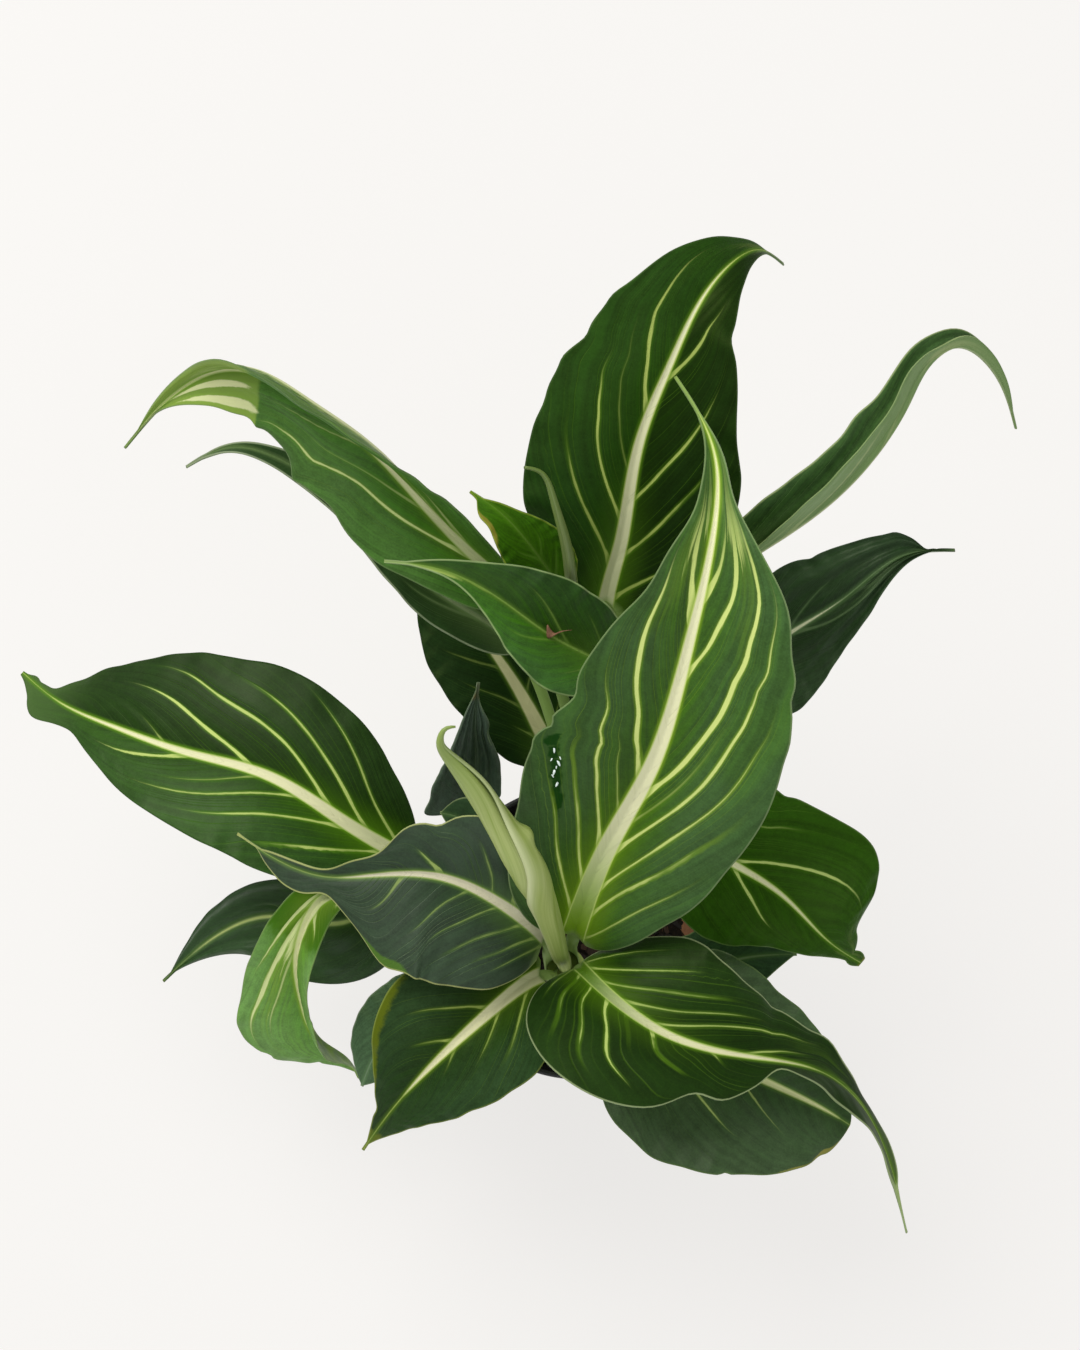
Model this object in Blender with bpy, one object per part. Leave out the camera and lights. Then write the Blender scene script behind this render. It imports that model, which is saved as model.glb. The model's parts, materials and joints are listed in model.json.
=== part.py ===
"""Potted dieffenbachia: a black nursery pot, soil, three canes, their leaves and two rolled new leaves.

The origin is the centre of the pot's foot, +Z is up, and +Y is the side that the tallest leaf leans to.
Every size below is in millimetres and turned to metres where a mesh is made.
"""
import math

import bmesh
import bpy
import numpy as np
from mathutils import Vector

MM = 0.001

# Gap that touching pieces keep
GAP = 0.3

# Pot: a tapered thin wall with a rolled band under the rim
POT_HEIGHT = 130.0
POT_RIM_RADIUS = 75.0
POT_FOOT_RADIUS = 54.0
POT_WALL = 1.6
POT_FLOOR = 2.4
POT_BAND_HEIGHT = 17.0
POT_BAND_STEP = 2.2
POT_CORNER = 1.5
POT_SIDES = 36
DRAIN_HOLES = 6
DRAIN_HOLE_RADIUS = 5.0
DRAIN_RING_RADIUS = 36.0

# Soil: fills the pot to a little under the rim
SOIL_BELOW_RIM = 15.0
SOIL_CROWN = 3.0
SOIL_SIDES = 28
CANE_DEPTH = 30.0

# Blades and stalks
BLADE_THICKNESS = 0.8
RIB_DEPTH = 2.2
TIP_HALF_WIDTH = 0.8
PATH_STEPS = 240
PETIOLE_ROWS = 5
BLADE_ROWS = 14
WAVE_SHIFT = 0.37
SPEAR_ROWS = 14

# Canes: a raised scar ring at each old leaf's place
CANE_SIDES = 12
SCAR_SPACING = 14.0
SCAR_HALF_HEIGHT = 1.6
FIRST_SCAR = 8.0
BETWEEN_SCARS = 0.94

POT_BLACK = (0.018, 0.018, 0.02, 1.0)
SOIL_BROWN = (0.025, 0.017, 0.012, 1.0)
CANE_GREEN = (0.12, 0.19, 0.06, 1.0)
LEAF_GREEN = (0.035, 0.11, 0.028, 1.0)
SPEAR_GREEN = (0.2, 0.36, 0.09, 1.0)


def clear_scene():
    """Removes every object that the file starts with."""
    for thing in list(bpy.data.objects):
        bpy.data.objects.remove(thing, do_unlink=True)


def make_material(name, color, roughness):
    """One Principled material with a plain colour."""
    material = bpy.data.materials.new(name)
    material.use_nodes = True
    shader = material.node_tree.nodes["Principled BSDF"]
    shader.inputs["Base Color"].default_value = color
    shader.inputs["Roughness"].default_value = roughness
    shader.inputs["Metallic"].default_value = 0.0
    return material


def make_object(name, mesh, color, roughness):
    """Puts a mesh in the scene under its name, with a material of its own."""
    piece = bpy.data.objects.new(name, mesh)
    bpy.context.scene.collection.objects.link(piece)
    mesh.materials.append(make_material(name, color, roughness))
    return piece


def cut(piece, cutters):
    """Takes cutters out of a piece with Booleans, applies them, and removes the cutters."""
    for cutter in cutters:
        cutter.hide_render = True
        cutter.display_type = "WIRE"
        boolean = piece.modifiers.new("cut", "BOOLEAN")
        boolean.operation = "DIFFERENCE"
        boolean.solver = "EXACT"
        boolean.object = cutter
    graph = bpy.context.evaluated_depsgraph_get()
    finished = bpy.data.meshes.new_from_object(piece.evaluated_get(graph))
    piece.modifiers.clear()
    piece.data = finished
    for cutter in cutters:
        bpy.data.objects.remove(cutter, do_unlink=True)


def loft(name, rings):
    """Closed mesh through rings of equal count; a ring's two halves get opposite diagonals, so that the
    upper and lower face of a blade split alike."""
    count = len(rings[0])
    half = count // 2
    mesh = bmesh.new()
    verts = [[mesh.verts.new(Vector(point) * MM) for point in ring] for ring in rings]
    for low, high in zip(verts[:-1], verts[1:]):
        for k in range(count):
            n = (k + 1) % count
            if k < half:
                mesh.faces.new((low[k], low[n], high[n]))
                mesh.faces.new((low[k], high[n], high[k]))
            else:
                mesh.faces.new((low[k], low[n], high[k]))
                mesh.faces.new((low[n], high[n], high[k]))
    mesh.faces.new(verts[0][::-1])
    mesh.faces.new(verts[-1])
    bmesh.ops.triangulate(mesh, faces=[face for face in mesh.faces if len(face.verts) > 4])
    bmesh.ops.recalc_face_normals(mesh, faces=mesh.faces)
    data = bpy.data.meshes.new(name)
    mesh.to_mesh(data)
    mesh.free()
    data.shade_smooth()
    data.set_sharp_from_angle(angle=math.radians(40))
    return data


def turned(name, profile, sides):
    """Solid turned about Z from a profile of (radius, height) that starts and ends on the axis."""
    mesh = bmesh.new()
    angles = [2 * math.pi * k / sides for k in range(sides)]
    bottom = mesh.verts.new((0, 0, profile[0][1] * MM))
    top = mesh.verts.new((0, 0, profile[-1][1] * MM))
    rings = []
    for radius, height in profile[1:-1]:
        ring = []
        for angle in angles:
            place = Vector((radius * math.cos(angle), radius * math.sin(angle), height))
            ring.append(mesh.verts.new(place * MM))
        rings.append(ring)
    for k in range(sides):
        n = (k + 1) % sides
        mesh.faces.new((bottom, rings[0][n], rings[0][k]))
        mesh.faces.new((top, rings[-1][k], rings[-1][n]))
        for low, high in zip(rings[:-1], rings[1:]):
            mesh.faces.new((low[k], low[n], high[n], high[k]))
    bmesh.ops.triangulate(mesh, faces=mesh.faces)
    bmesh.ops.recalc_face_normals(mesh, faces=mesh.faces)
    data = bpy.data.meshes.new(name)
    mesh.to_mesh(data)
    mesh.free()
    data.shade_smooth()
    data.set_sharp_from_angle(angle=math.radians(35))
    return data


def rod(name, start, end, radius, sides):
    """Straight round bar from start to end."""
    axis = Vector(end) - Vector(start)
    across = axis.normalized().orthogonal()
    other = axis.normalized().cross(across)
    rings = []
    for place in (Vector(start), Vector(end)):
        ring = []
        for k in range(sides):
            angle = 2 * math.pi * k / sides
            ring.append(place + across * radius * math.cos(angle) + other * radius * math.sin(angle))
        rings.append(ring)
    return loft(name, rings)


def natural_curve(knots, values, places):
    """Natural cubic curve through values at knots, read at places."""
    knots = np.asarray(knots, float)
    values = np.asarray(values, float)
    gaps = np.diff(knots)
    count = len(knots)
    system = np.eye(count)
    target = np.zeros((count, values.shape[1]))
    for i in range(1, count - 1):
        system[i, i - 1:i + 2] = gaps[i - 1], 2 * (gaps[i - 1] + gaps[i]), gaps[i]
        target[i] = 6 * ((values[i + 1] - values[i]) / gaps[i] - (values[i] - values[i - 1]) / gaps[i - 1])
    bend = np.linalg.solve(system, target)
    i = np.clip(np.searchsorted(knots, places, side="right") - 1, 0, count - 2)
    gap = gaps[i][:, None]
    left = (knots[i + 1] - places)[:, None] / gap
    right = 1 - left
    curve = left * values[i] + right * values[i + 1]
    return curve + ((left**3 - left) * bend[i] + (right**3 - right) * bend[i + 1]) * gap**2 / 6


def along(values, places):
    """A value that changes smoothly along a blade: evenly spaced numbers from its base to its tip."""
    if len(values) == 1:
        return np.full(len(places), float(values[0]))
    knots = np.linspace(0, 1, len(values))
    return natural_curve(knots, np.asarray(values, float)[:, None], places)[:, 0]


class Stalk:
    """Smooth line from a leaf's foot through its blade's base to its tip, with a frame at every place."""

    def __init__(self, petiole, midrib):
        points = np.array(list(petiole) + list(midrib), float)
        chord = np.concatenate([[0], np.cumsum(np.linalg.norm(np.diff(points, axis=0), axis=1))])
        steps = np.linspace(0, chord[-1], PATH_STEPS)
        self.points = natural_curve(chord, points, steps)
        lengths = np.linalg.norm(np.diff(self.points, axis=0), axis=1)
        self.length = np.concatenate([[0], np.cumsum(lengths)])
        self.base = float(np.interp(chord[len(petiole)], steps, self.length))
        self.tangents = np.gradient(self.points, self.length, axis=0)
        self.tangents /= np.linalg.norm(self.tangents, axis=1)[:, None]
        self.normals = np.zeros_like(self.points)
        start = int(np.searchsorted(self.length, self.base))
        self.normals[start] = self.square(np.array([0, 0, 1.0]), start)
        for i in range(start + 1, PATH_STEPS):
            self.normals[i] = self.square(self.normals[i - 1], i)
        for i in range(start - 1, -1, -1):
            self.normals[i] = self.square(self.normals[i + 1], i)

    def square(self, normal, i):
        """The part of a normal that is square to the line at step i, one long."""
        flat = normal - self.tangents[i] * normal.dot(self.tangents[i])
        return flat / np.linalg.norm(flat)

    def frame(self, length):
        """Point, tangent, side and normal at a length from the foot; the side is the leaf's right."""
        point = np.array([np.interp(length, self.length, self.points[:, k]) for k in range(3)])
        tangent = np.array([np.interp(length, self.length, self.tangents[:, k]) for k in range(3)])
        normal = np.array([np.interp(length, self.length, self.normals[:, k]) for k in range(3)])
        tangent /= np.linalg.norm(tangent)
        normal -= tangent * normal.dot(tangent)
        normal /= np.linalg.norm(normal)
        return point, tangent, np.cross(tangent, normal), normal


def fullness(place, widest, tip, tail):
    """Half width as a share of the widest: a quarter ellipse to the widest place, then a point."""
    if place < widest:
        return math.sqrt(max(0.0, 1 - ((widest - place) / widest)**2))
    rest = min(1.0, (place - widest) / (1 - widest - tail))
    return (1 - rest**2)**tip


def round_ring(point, side, normal, radius, columns):
    """Ring of a round stalk, whose first half runs over the top from left to right."""
    ring = []
    for k in range(2 * columns):
        angle = math.pi - math.pi * (k + 0.5) / columns
        ring.append(point + side * radius * math.cos(angle) + normal * radius * math.sin(angle))
    return ring


def level_foot(foot, ring, radius):
    """The first ring of a stalk laid level, so that it stands flat on its cane."""
    foot = np.array(foot, float)
    level = []
    for point in ring:
        arm = (point - foot) * np.array([1, 1, 0])
        level.append(foot + arm / np.linalg.norm(arm) * radius)
    return level


def grow_leaf(name, petiole, midrib, left, right, widest=0.38, tip=1.2, tail=0.03, fold=(15,), curl=(-10,),
              roll=(0,), lobe=0.0, wave=(0.0, 3.0, 0.0), fold_left=None, fold_right=None, stalk=(2.8, 2.6),
              columns=5, rows=BLADE_ROWS):
    """A leaf in one piece: its round petiole, and its blade, whose halves start at the fold and bend by the curl.

    left and right are half widths, and fold, curl and roll are degrees, all evenly spaced from base to tip.
    lobe pushes the margin back beside the petiole, and wave is a ripple's height, count and start.
    """
    line = Stalk(petiole, midrib)
    blade_length = line.length[-1] - line.base
    rings = []
    for i in range(PETIOLE_ROWS):
        share = i / (PETIOLE_ROWS - 1)
        point, _, side, normal = line.frame(line.base * share)
        radius = stalk[0] + (stalk[1] - stalk[0]) * share
        rings.append(round_ring(point, side, normal, radius, columns))
    rings[0] = level_foot(petiole[0], rings[0], stalk[0])
    steps = np.linspace(0.1, 1, rows)
    places = (steps + 0.5 - 0.5 * np.cos(math.pi * steps)) / 2
    places[-1] = 1.0
    widths = {-1: along(left, places), 1: along(right, places)}
    folds = {-1: np.radians(along(fold_left or fold, places)), 1: np.radians(along(fold_right or fold, places))}
    curls = np.radians(along(curl, places))
    rolls = np.radians(along(roll, places))
    across = np.linspace(-1, 1, columns)
    for i, place in enumerate(places):
        point, tangent, side, normal = line.frame(line.base + blade_length * place)
        turned_normal = normal * math.cos(rolls[i]) + side * math.sin(rolls[i])
        turned_side = side * math.cos(rolls[i]) - normal * math.sin(rolls[i])
        bend = curls[i] if abs(curls[i]) > 0.001 else 0.001
        share = fullness(place, widest, tip, tail)
        push_back = lobe * max(0.0, 1 - place / widest)**2
        top = []
        bottom = []
        for v in across:
            hand = 1 if v >= 0 else -1
            u = abs(v)
            start = folds[hand][i]
            half_width = max(widths[hand][i] * share, TIP_HALF_WIDTH)
            out = half_width * (math.sin(start + bend * u) - math.sin(start)) / bend
            up = half_width * (math.cos(start) - math.cos(start + bend * u)) / bend
            ripple = wave[0] * u**2 * math.sin(math.pi * place)
            ripple *= math.sin(2 * math.pi * (wave[1] * place + wave[2] + WAVE_SHIFT * (hand > 0)))
            slope = 0.0 if u == 0 else start + bend * u
            face = turned_normal * math.cos(slope) - turned_side * hand * math.sin(slope)
            middle = point + turned_side * hand * out + turned_normal * (up + ripple) - tangent * push_back * u**2
            rib = RIB_DEPTH * (1 - place)**0.7 if u == 0 else 0.0
            top.append(middle + face * BLADE_THICKNESS / 2)
            bottom.append(middle - face * (BLADE_THICKNESS / 2 + rib))
        rings.append(top + bottom[::-1])
    return make_object(name, loft(name, rings), LEAF_GREEN, 0.45)


def grow_spear(name, petiole, midrib, radii, sides=10):
    """A new leaf that is still rolled up: a slim spindle along its line; radii are evenly spaced."""
    line = Stalk(petiole, midrib)
    places = np.linspace(0, 1, SPEAR_ROWS)
    thickness = along(radii, places)
    rings = []
    for place, radius in zip(places, thickness):
        point, _, side, normal = line.frame(line.length[-1] * place)
        rings.append(round_ring(point, side, normal, radius, sides // 2))
    rings[0] = level_foot(petiole[0], rings[0], radii[0])
    return make_object(name, loft(name, rings), SPEAR_GREEN, 0.45)


def cane_path(foot, top):
    """Straight line of a cane from inside the soil to its top."""
    foot = Vector(foot)
    top = Vector(top)
    buried = foot - (top - foot).normalized() * (CANE_DEPTH - GAP)
    return buried, top


def grow_cane(name, foot, top, radius):
    """A cane with a raised scar ring where each old leaf was."""
    buried, top = cane_path(foot, top)
    length = (top - buried).length
    axis = (top - buried).normalized()
    side = axis.orthogonal().normalized()
    other = axis.cross(side)
    rings = []
    heights = [0.0]
    swell = [1.0]
    height = CANE_DEPTH + FIRST_SCAR
    while height < length - FIRST_SCAR:
        heights += [height - SCAR_HALF_HEIGHT, height, height + SCAR_HALF_HEIGHT]
        swell += [BETWEEN_SCARS, 1.0, BETWEEN_SCARS]
        height += SCAR_SPACING
    heights.append(length)
    swell.append(BETWEEN_SCARS)
    for height, share in zip(heights, swell):
        ring = []
        for k in range(CANE_SIDES):
            angle = 2 * math.pi * k / CANE_SIDES
            arm = side * math.cos(angle) + other * math.sin(angle)
            ring.append(buried + axis * height + arm * radius * share)
        rings.append(ring)
    for point in rings[-1]:
        point.z = top.z
    return make_object(name, loft(name, rings), CANE_GREEN, 0.6)


def wall_radius(height):
    """Outer radius of the pot's tapered wall at a height."""
    return POT_FOOT_RADIUS + (POT_RIM_RADIUS - POT_BAND_STEP - POT_FOOT_RADIUS) * height / POT_HEIGHT


def build_pot():
    """Nursery pot: flat foot with drain holes, tapered wall, stepped band and a rounded rim."""
    band_foot = POT_HEIGHT - POT_BAND_HEIGHT
    inner_foot = POT_FOOT_RADIUS - POT_WALL
    profile = [
        (0.0, 0.0),
        (POT_FOOT_RADIUS - POT_CORNER, 0.0),
        (wall_radius(POT_CORNER), POT_CORNER),
        (wall_radius(band_foot), band_foot),
        (POT_RIM_RADIUS - 1.2, band_foot + 0.6),
        (POT_RIM_RADIUS, POT_HEIGHT - 1.4),
        (POT_RIM_RADIUS - 0.6, POT_HEIGHT - 0.3),
        (POT_RIM_RADIUS - 1.8, POT_HEIGHT),
        (POT_RIM_RADIUS - POT_BAND_STEP - POT_WALL, POT_HEIGHT - 1.0),
        (wall_radius(band_foot) - POT_WALL, band_foot),
        (inner_foot, POT_FLOOR + 1.0),
        (inner_foot - 1.0, POT_FLOOR),
        (0.0, POT_FLOOR),
    ]
    pot = make_object("pot", turned("pot", profile, POT_SIDES), POT_BLACK, 0.42)
    cutters = []
    for k in range(DRAIN_HOLES):
        angle = 2 * math.pi * (k + 0.5) / DRAIN_HOLES
        x = DRAIN_RING_RADIUS * math.cos(angle)
        y = DRAIN_RING_RADIUS * math.sin(angle)
        shape = rod("drain", (x, y, -2.0), (x, y, POT_FLOOR + 2.0), DRAIN_HOLE_RADIUS, 12)
        cutter = bpy.data.objects.new("drain", shape)
        bpy.context.scene.collection.objects.link(cutter)
        cutters.append(cutter)
    cut(pot, cutters)


def build_soil(canes):
    """Soil plug with a low crown, clear of the pot all round, with a plain hole for each cane."""
    top = POT_HEIGHT - SOIL_BELOW_RIM
    floor = POT_FLOOR + GAP
    low_radius = POT_FOOT_RADIUS - POT_WALL - 1.0 - GAP
    inner_low = POT_FOOT_RADIUS - POT_WALL
    band_foot = POT_HEIGHT - POT_BAND_HEIGHT
    inner_high = wall_radius(band_foot) - POT_WALL
    slope = (inner_high - inner_low) / (band_foot - POT_FLOOR - 1.0)
    wall_at = [inner_low + slope * (height - POT_FLOOR - 1.0) for height in (floor + 1.0, top)]
    clearance = 2 * GAP
    profile = [
        (0.0, floor),
        (low_radius, floor),
        (wall_at[0] - clearance, floor + 1.0),
        (wall_at[1] - clearance, top),
        (0.0, top + SOIL_CROWN),
    ]
    soil = make_object("soil", turned("soil", profile, SOIL_SIDES), SOIL_BROWN, 0.95)
    cutters = []
    for foot, top_place, radius in canes:
        buried, top_end = cane_path(foot, top_place)
        axis = (top_end - buried).normalized()
        shape = rod("cane_hole", buried - axis * GAP, top_end, radius + GAP, 14)
        cutter = bpy.data.objects.new("cane_hole", shape)
        bpy.context.scene.collection.objects.link(cutter)
        cutters.append(cutter)
    cut(soil, cutters)


# Canes: place where each leaves the soil, its top, and its radius
CANE_FRONT = ((-8, -22, 115), (-8, -24, 180), 10.0)
CANE_BACK = ((8, 32, 115), (6, 62, 212), 10.0)
CANE_LEFT = ((-36, 0, 115), (-44, 5, 165), 9.0)

clear_scene()
build_pot()
build_soil([CANE_FRONT, CANE_BACK, CANE_LEFT])
grow_cane("cane_front", *CANE_FRONT)
grow_cane("cane_back", *CANE_BACK)
grow_cane("cane_left", *CANE_LEFT)

# Leaves of the front cane
grow_leaf("leaf_tallest",
          petiole=[(-5.6, -17.5, 180.3), (-5.5, -16.5, 212)],
          midrib=[(-4.5, -14.5, 240), (9, 17, 290), (30, 52, 338), (43, 94, 376), (52, 134, 398), (54, 164, 398),
                  (38, 210, 380)],
          left=(50, 50, 52, 49, 40, 25, 10), right=(38, 50, 53, 59, 56, 24, 12), widest=0.34, tip=1.5,
          fold=(22, 18, 22, 34), curl=(-10, -15, -10), lobe=4, stalk=(2.8, 3.2), columns=7)
grow_leaf("leaf_front_right",
          petiole=[(-3.1, -28.9, 180.3), (-2, -29, 212)],
          midrib=[(-2, -29, 234), (8, -41, 256), (36, -62, 264), (68, -71, 258), (109, -77, 232), (139, -102, 195),
                  (157, -150, 160)],
          left=(8, 44, 44, 34, 20, 9, 9, 11, 10), right=(44, 54, 40, 22, 8, 12, 13, 12, 10), widest=0.3, tip=1.0,
          fold=(18,), curl=(-15,), lobe=5, wave=(2.5, 3.5, 0.2), stalk=(2.8, 2.8), columns=7)
grow_leaf("leaf_front_left",
          petiole=[(-12, -29.7, 180.3), (-14, -30, 200)],
          midrib=[(-20, -31, 213), (-45, -50, 226), (-68, -71, 224), (-88, -91, 208), (-105, -111, 180)],
          left=(40, 37, 32, 25, 18), right=(36, 38, 39, 18, 14), widest=0.35, tip=1.2, tail=0.02,
          curl=(-15,), lobe=4)
grow_leaf("leaf_left",
          petiole=[(-14.7, -22.2, 180.3), (-16.5, -19.5, 210)],
          midrib=[(-18, -16, 232), (-43, 1, 254), (-68, 10, 262), (-100, 10, 262), (-117, 10, 258),
                  (-145, 21, 248), (-162, 33, 238)],
          left=(52, 50, 48, 44, 22, 20, 12), right=(38, 38, 34, 14, 5, 8, 8), widest=0.35, tip=1.1, lobe=6,
          wave=(1.5, 3, 0), columns=7)
grow_leaf("leaf_front_low",
          petiole=[(2.1, -31.5, 150), (6, -36, 172)],
          midrib=[(16, -44, 188), (46, -61, 204), (81, -78, 208), (118, -95, 198), (127, -100, 192)],
          left=(54, 52, 44, 39, 30), right=(54, 56, 54, 50, 55), widest=0.45, tip=0.6, tail=0.0, fold=(10,),
          curl=(-15,), wave=(1.5, 3, 0.1))
grow_leaf("leaf_right_small",
          petiole=[(4.2, -24, 140), (14, -26, 150)],
          midrib=[(34, -31, 160), (73, -20, 170), (106, -16, 166)],
          left=(20,), right=(22,), tail=0.0, fold=(10,))

# Leaves of the back cane
grow_leaf("leaf_back",
          petiole=[(10.9, 66.9, 212.3), (13, 92, 248)],
          midrib=[(10, 133, 285), (16, 154, 310), (24, 192, 350), (37, 221, 370), (53, 250, 382), (73, 270, 374),
                  (88, 272, 352)],
          left=(45, 48, 49, 47, 45, 30, 8), right=(50, 52, 41, 27, 22), tip=1.1, tail=0.06, fold=(20, 15, 20),
          wave=(2, 2.5, 0.3), columns=7)
grow_leaf("leaf_back_right",
          petiole=[(12.7, 60.2, 212.3), (26, 88, 262)],
          midrib=[(51, 129, 322), (75, 142, 348), (112, 162, 388), (134, 191, 403), (142, 206, 404),
                  (155, 217, 400), (172, 215, 384), (190, 198, 345)],
          left=(18, 20, 15, 10, 9), right=(18, 17, 13, 9, 8), widest=0.35, tip=0.8,
          fold_left=(40, 45, 40, 30), fold_right=(60, 85, 80, 40), curl=(5,), roll=(0, -15, -15, 0), rows=20)
grow_leaf("leaf_right",
          petiole=[(18.7, 56.7, 195), (34, 78, 222)],
          midrib=[(62, 100, 245), (98, 124, 268), (122, 137, 286), (142, 151, 296), (171, 158, 285)],
          left=(26, 27, 29, 29, 30), right=(40, 34, 21, 14, 8), widest=0.35, tip=1.2, tail=0.06)
grow_leaf("leaf_right_low",
          petiole=[(18.6, 44.9, 170), (25, 46, 194)],
          midrib=[(32, 49, 211), (51, 34, 222), (72, 20, 226), (94, 6, 224), (115, -13, 212), (134, -23, 195)],
          left=(44, 44, 43, 55, 40), right=(38, 38, 36, 22, 10), widest=0.5, tip=0.8, tail=0.06, fold=(12,),
          curl=(-20,))
grow_leaf("leaf_back_left",
          petiole=[(-0.7, 63.8, 212.3), (-9, 93, 255)],
          midrib=[(-28, 131, 290), (-51, 148, 318), (-76, 168, 350), (-101, 184, 386), (-118, 194, 394),
                  (-138, 206, 396), (-155, 211, 388), (-175, 208, 372), (-205, 192, 335)],
          left=(30, 34, 46, 24, 30), right=(12, 16, 20, 14, 12), tip=1.0,
          fold=(30,), curl=(1,), roll=(0, -30, -70, -55, -10))
grow_leaf("leaf_back_left_low",
          petiole=[(1.1, 57.1, 212.3), (-10, 73, 236)],
          midrib=[(-30, 117, 258), (-69, 141, 279), (-100, 168, 302), (-128, 186, 320), (-156, 197, 320),
                  (-182, 193, 302)],
          left=(27, 18, 12, 9, 12), right=(20, 18, 15, 8, 6), tip=1.0, fold=(30,), curl=(1,),
          wave=(2, 4, 0))
grow_leaf("leaf_centre_left",
          petiole=[(-5.5, 50.8, 170), (-10, 60, 190)],
          midrib=[(-13, 72, 203), (-19, 85, 212), (-33, 109, 224), (-54, 137, 232), (-80, 167, 234)],
          left=(30, 29, 32, 38, 40), right=(38,), tip=1.0, tail=0.02, fold=(8,))
grow_leaf("leaf_back_folded",
          petiole=[(7.8, 55.3, 212.3), (11, 80, 258)],
          midrib=[(12, 98, 300), (-11, 107, 320), (-39, 122, 341), (-64, 132, 352), (-88, 136, 350)],
          left=(28, 25, 16, 6, 7), right=(32, 28, 23, 12, 8), tip=1.0, tail=0.05, fold=(20,), curl=(1,))
grow_leaf("leaf_back_small",
          petiole=[(4.2, 68.7, 212.3), (-2, 100, 258)],
          midrib=[(-11, 133, 308), (-25, 149, 330), (-38, 161, 340), (-51, 171, 338)],
          left=(16,), right=(16,), tail=0.05, fold=(20,), curl=(1,))

# Leaves of the left cane
grow_leaf("leaf_left_broad",
          petiole=[(-49.1, 8, 165.3), (-62, 16, 184)],
          midrib=[(-85, 27, 200), (-114, 42, 216), (-150, 63, 224), (-187, 74, 222), (-226, 89, 212),
                  (-257, 105, 198), (-276, 121, 188)],
          left=(44, 44, 44, 39, 31, 20, 24), right=(43, 45, 50, 52, 51, 36, 18), tip=0.75, tail=0.05,
          fold=(12,), curl=(-12,), lobe=3, columns=7)
grow_leaf("leaf_left_dark",
          petiole=[(-52.2, 2.5, 145), (-64, 8, 154)],
          midrib=[(-80, 17, 160), (-116, 0, 166), (-152, 3, 163), (-179, -4, 152), (-210, -26, 132)],
          left=(30, 31, 27, 16, 6), right=(25, 25, 20, 21, 16), tip=1.0, fold=(2,), curl=(-20,))
grow_leaf("leaf_left_curled",
          petiole=[(-49.1, 2.1, 165.3), (-76, 6, 190)],
          midrib=[(-114, 9, 204), (-124, 5, 211), (-133, -9, 207), (-137, -24, 194), (-136, -39, 176),
                  (-129, -57, 154), (-117, -65, 140), (-111, -74, 128)],
          left=(20,), right=(20, 22, 30, 38, 22), widest=0.5, tip=1.0, fold_left=(40, 75, 75, 75),
          fold_right=(12,), curl=(-12,), wave=(1.5, 2.5, 0.4))
grow_leaf("leaf_left_pale",
          petiole=[(-44, -0.9, 165.3), (-46, -14, 172)],
          midrib=[(-55, -28, 172), (-74, -44, 180), (-95, -59, 178), (-107, -80, 165)],
          left=(25,), right=(22,), widest=0.45, tip=1.0, tail=0.0, fold=(10,))
grow_leaf("leaf_centre_narrow",
          petiole=[(-43, 10.8, 165.3), (-46, 34, 182)],
          midrib=[(-51, 54, 196), (-51, 76, 224), (-51, 87, 247), (-49, 101, 260)],
          left=(30, 26, 20, 17, 18), right=(16, 14, 12, 8, 8), widest=0.3, fold=(30,), curl=(1,))
grow_leaf("leaf_centre_low",
          petiole=[(-38.5, 7, 165.3), (-32, 8, 180)],
          midrib=[(-25, 8, 190), (-39, 24, 211), (-54, 42, 218), (-68, 47, 213)],
          left=(26,), right=(26,), tip=1.0, tail=0.0, fold=(12,))

# New leaves, still rolled up
grow_spear("spear_front",
           petiole=[(-8, -24, 180.3), (-9, -24, 212)],
           midrib=[(-11, -23, 240), (-17, -7, 290), (-26, 9, 318), (-38, 26, 340), (-50, 39, 358), (-57, 48, 372),
                   (-60, 54, 380)],
           radii=(2.6, 2.6, 3.2, 5.5, 9.5, 7, 4.5, 1))
grow_spear("spear_back",
           petiole=[(6, 62, 212.3), (3, 94, 262)],
           midrib=[(-6, 131, 320), (-9, 144, 348), (-15, 160, 370), (-20, 168, 378), (-27, 169, 382)],
           radii=(2.6, 2.6, 2.6, 4, 5, 3, 0.8))
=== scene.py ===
"""A potted dieffenbachia, seen from almost straight above on a pale floor.

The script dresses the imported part: each section makes one piece of the plant, or a group of like pieces,
with its mesh, its material and its place in the frame. Sizes are in millimetres and become metres where a
mesh is made.
"""
import json
import math

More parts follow.
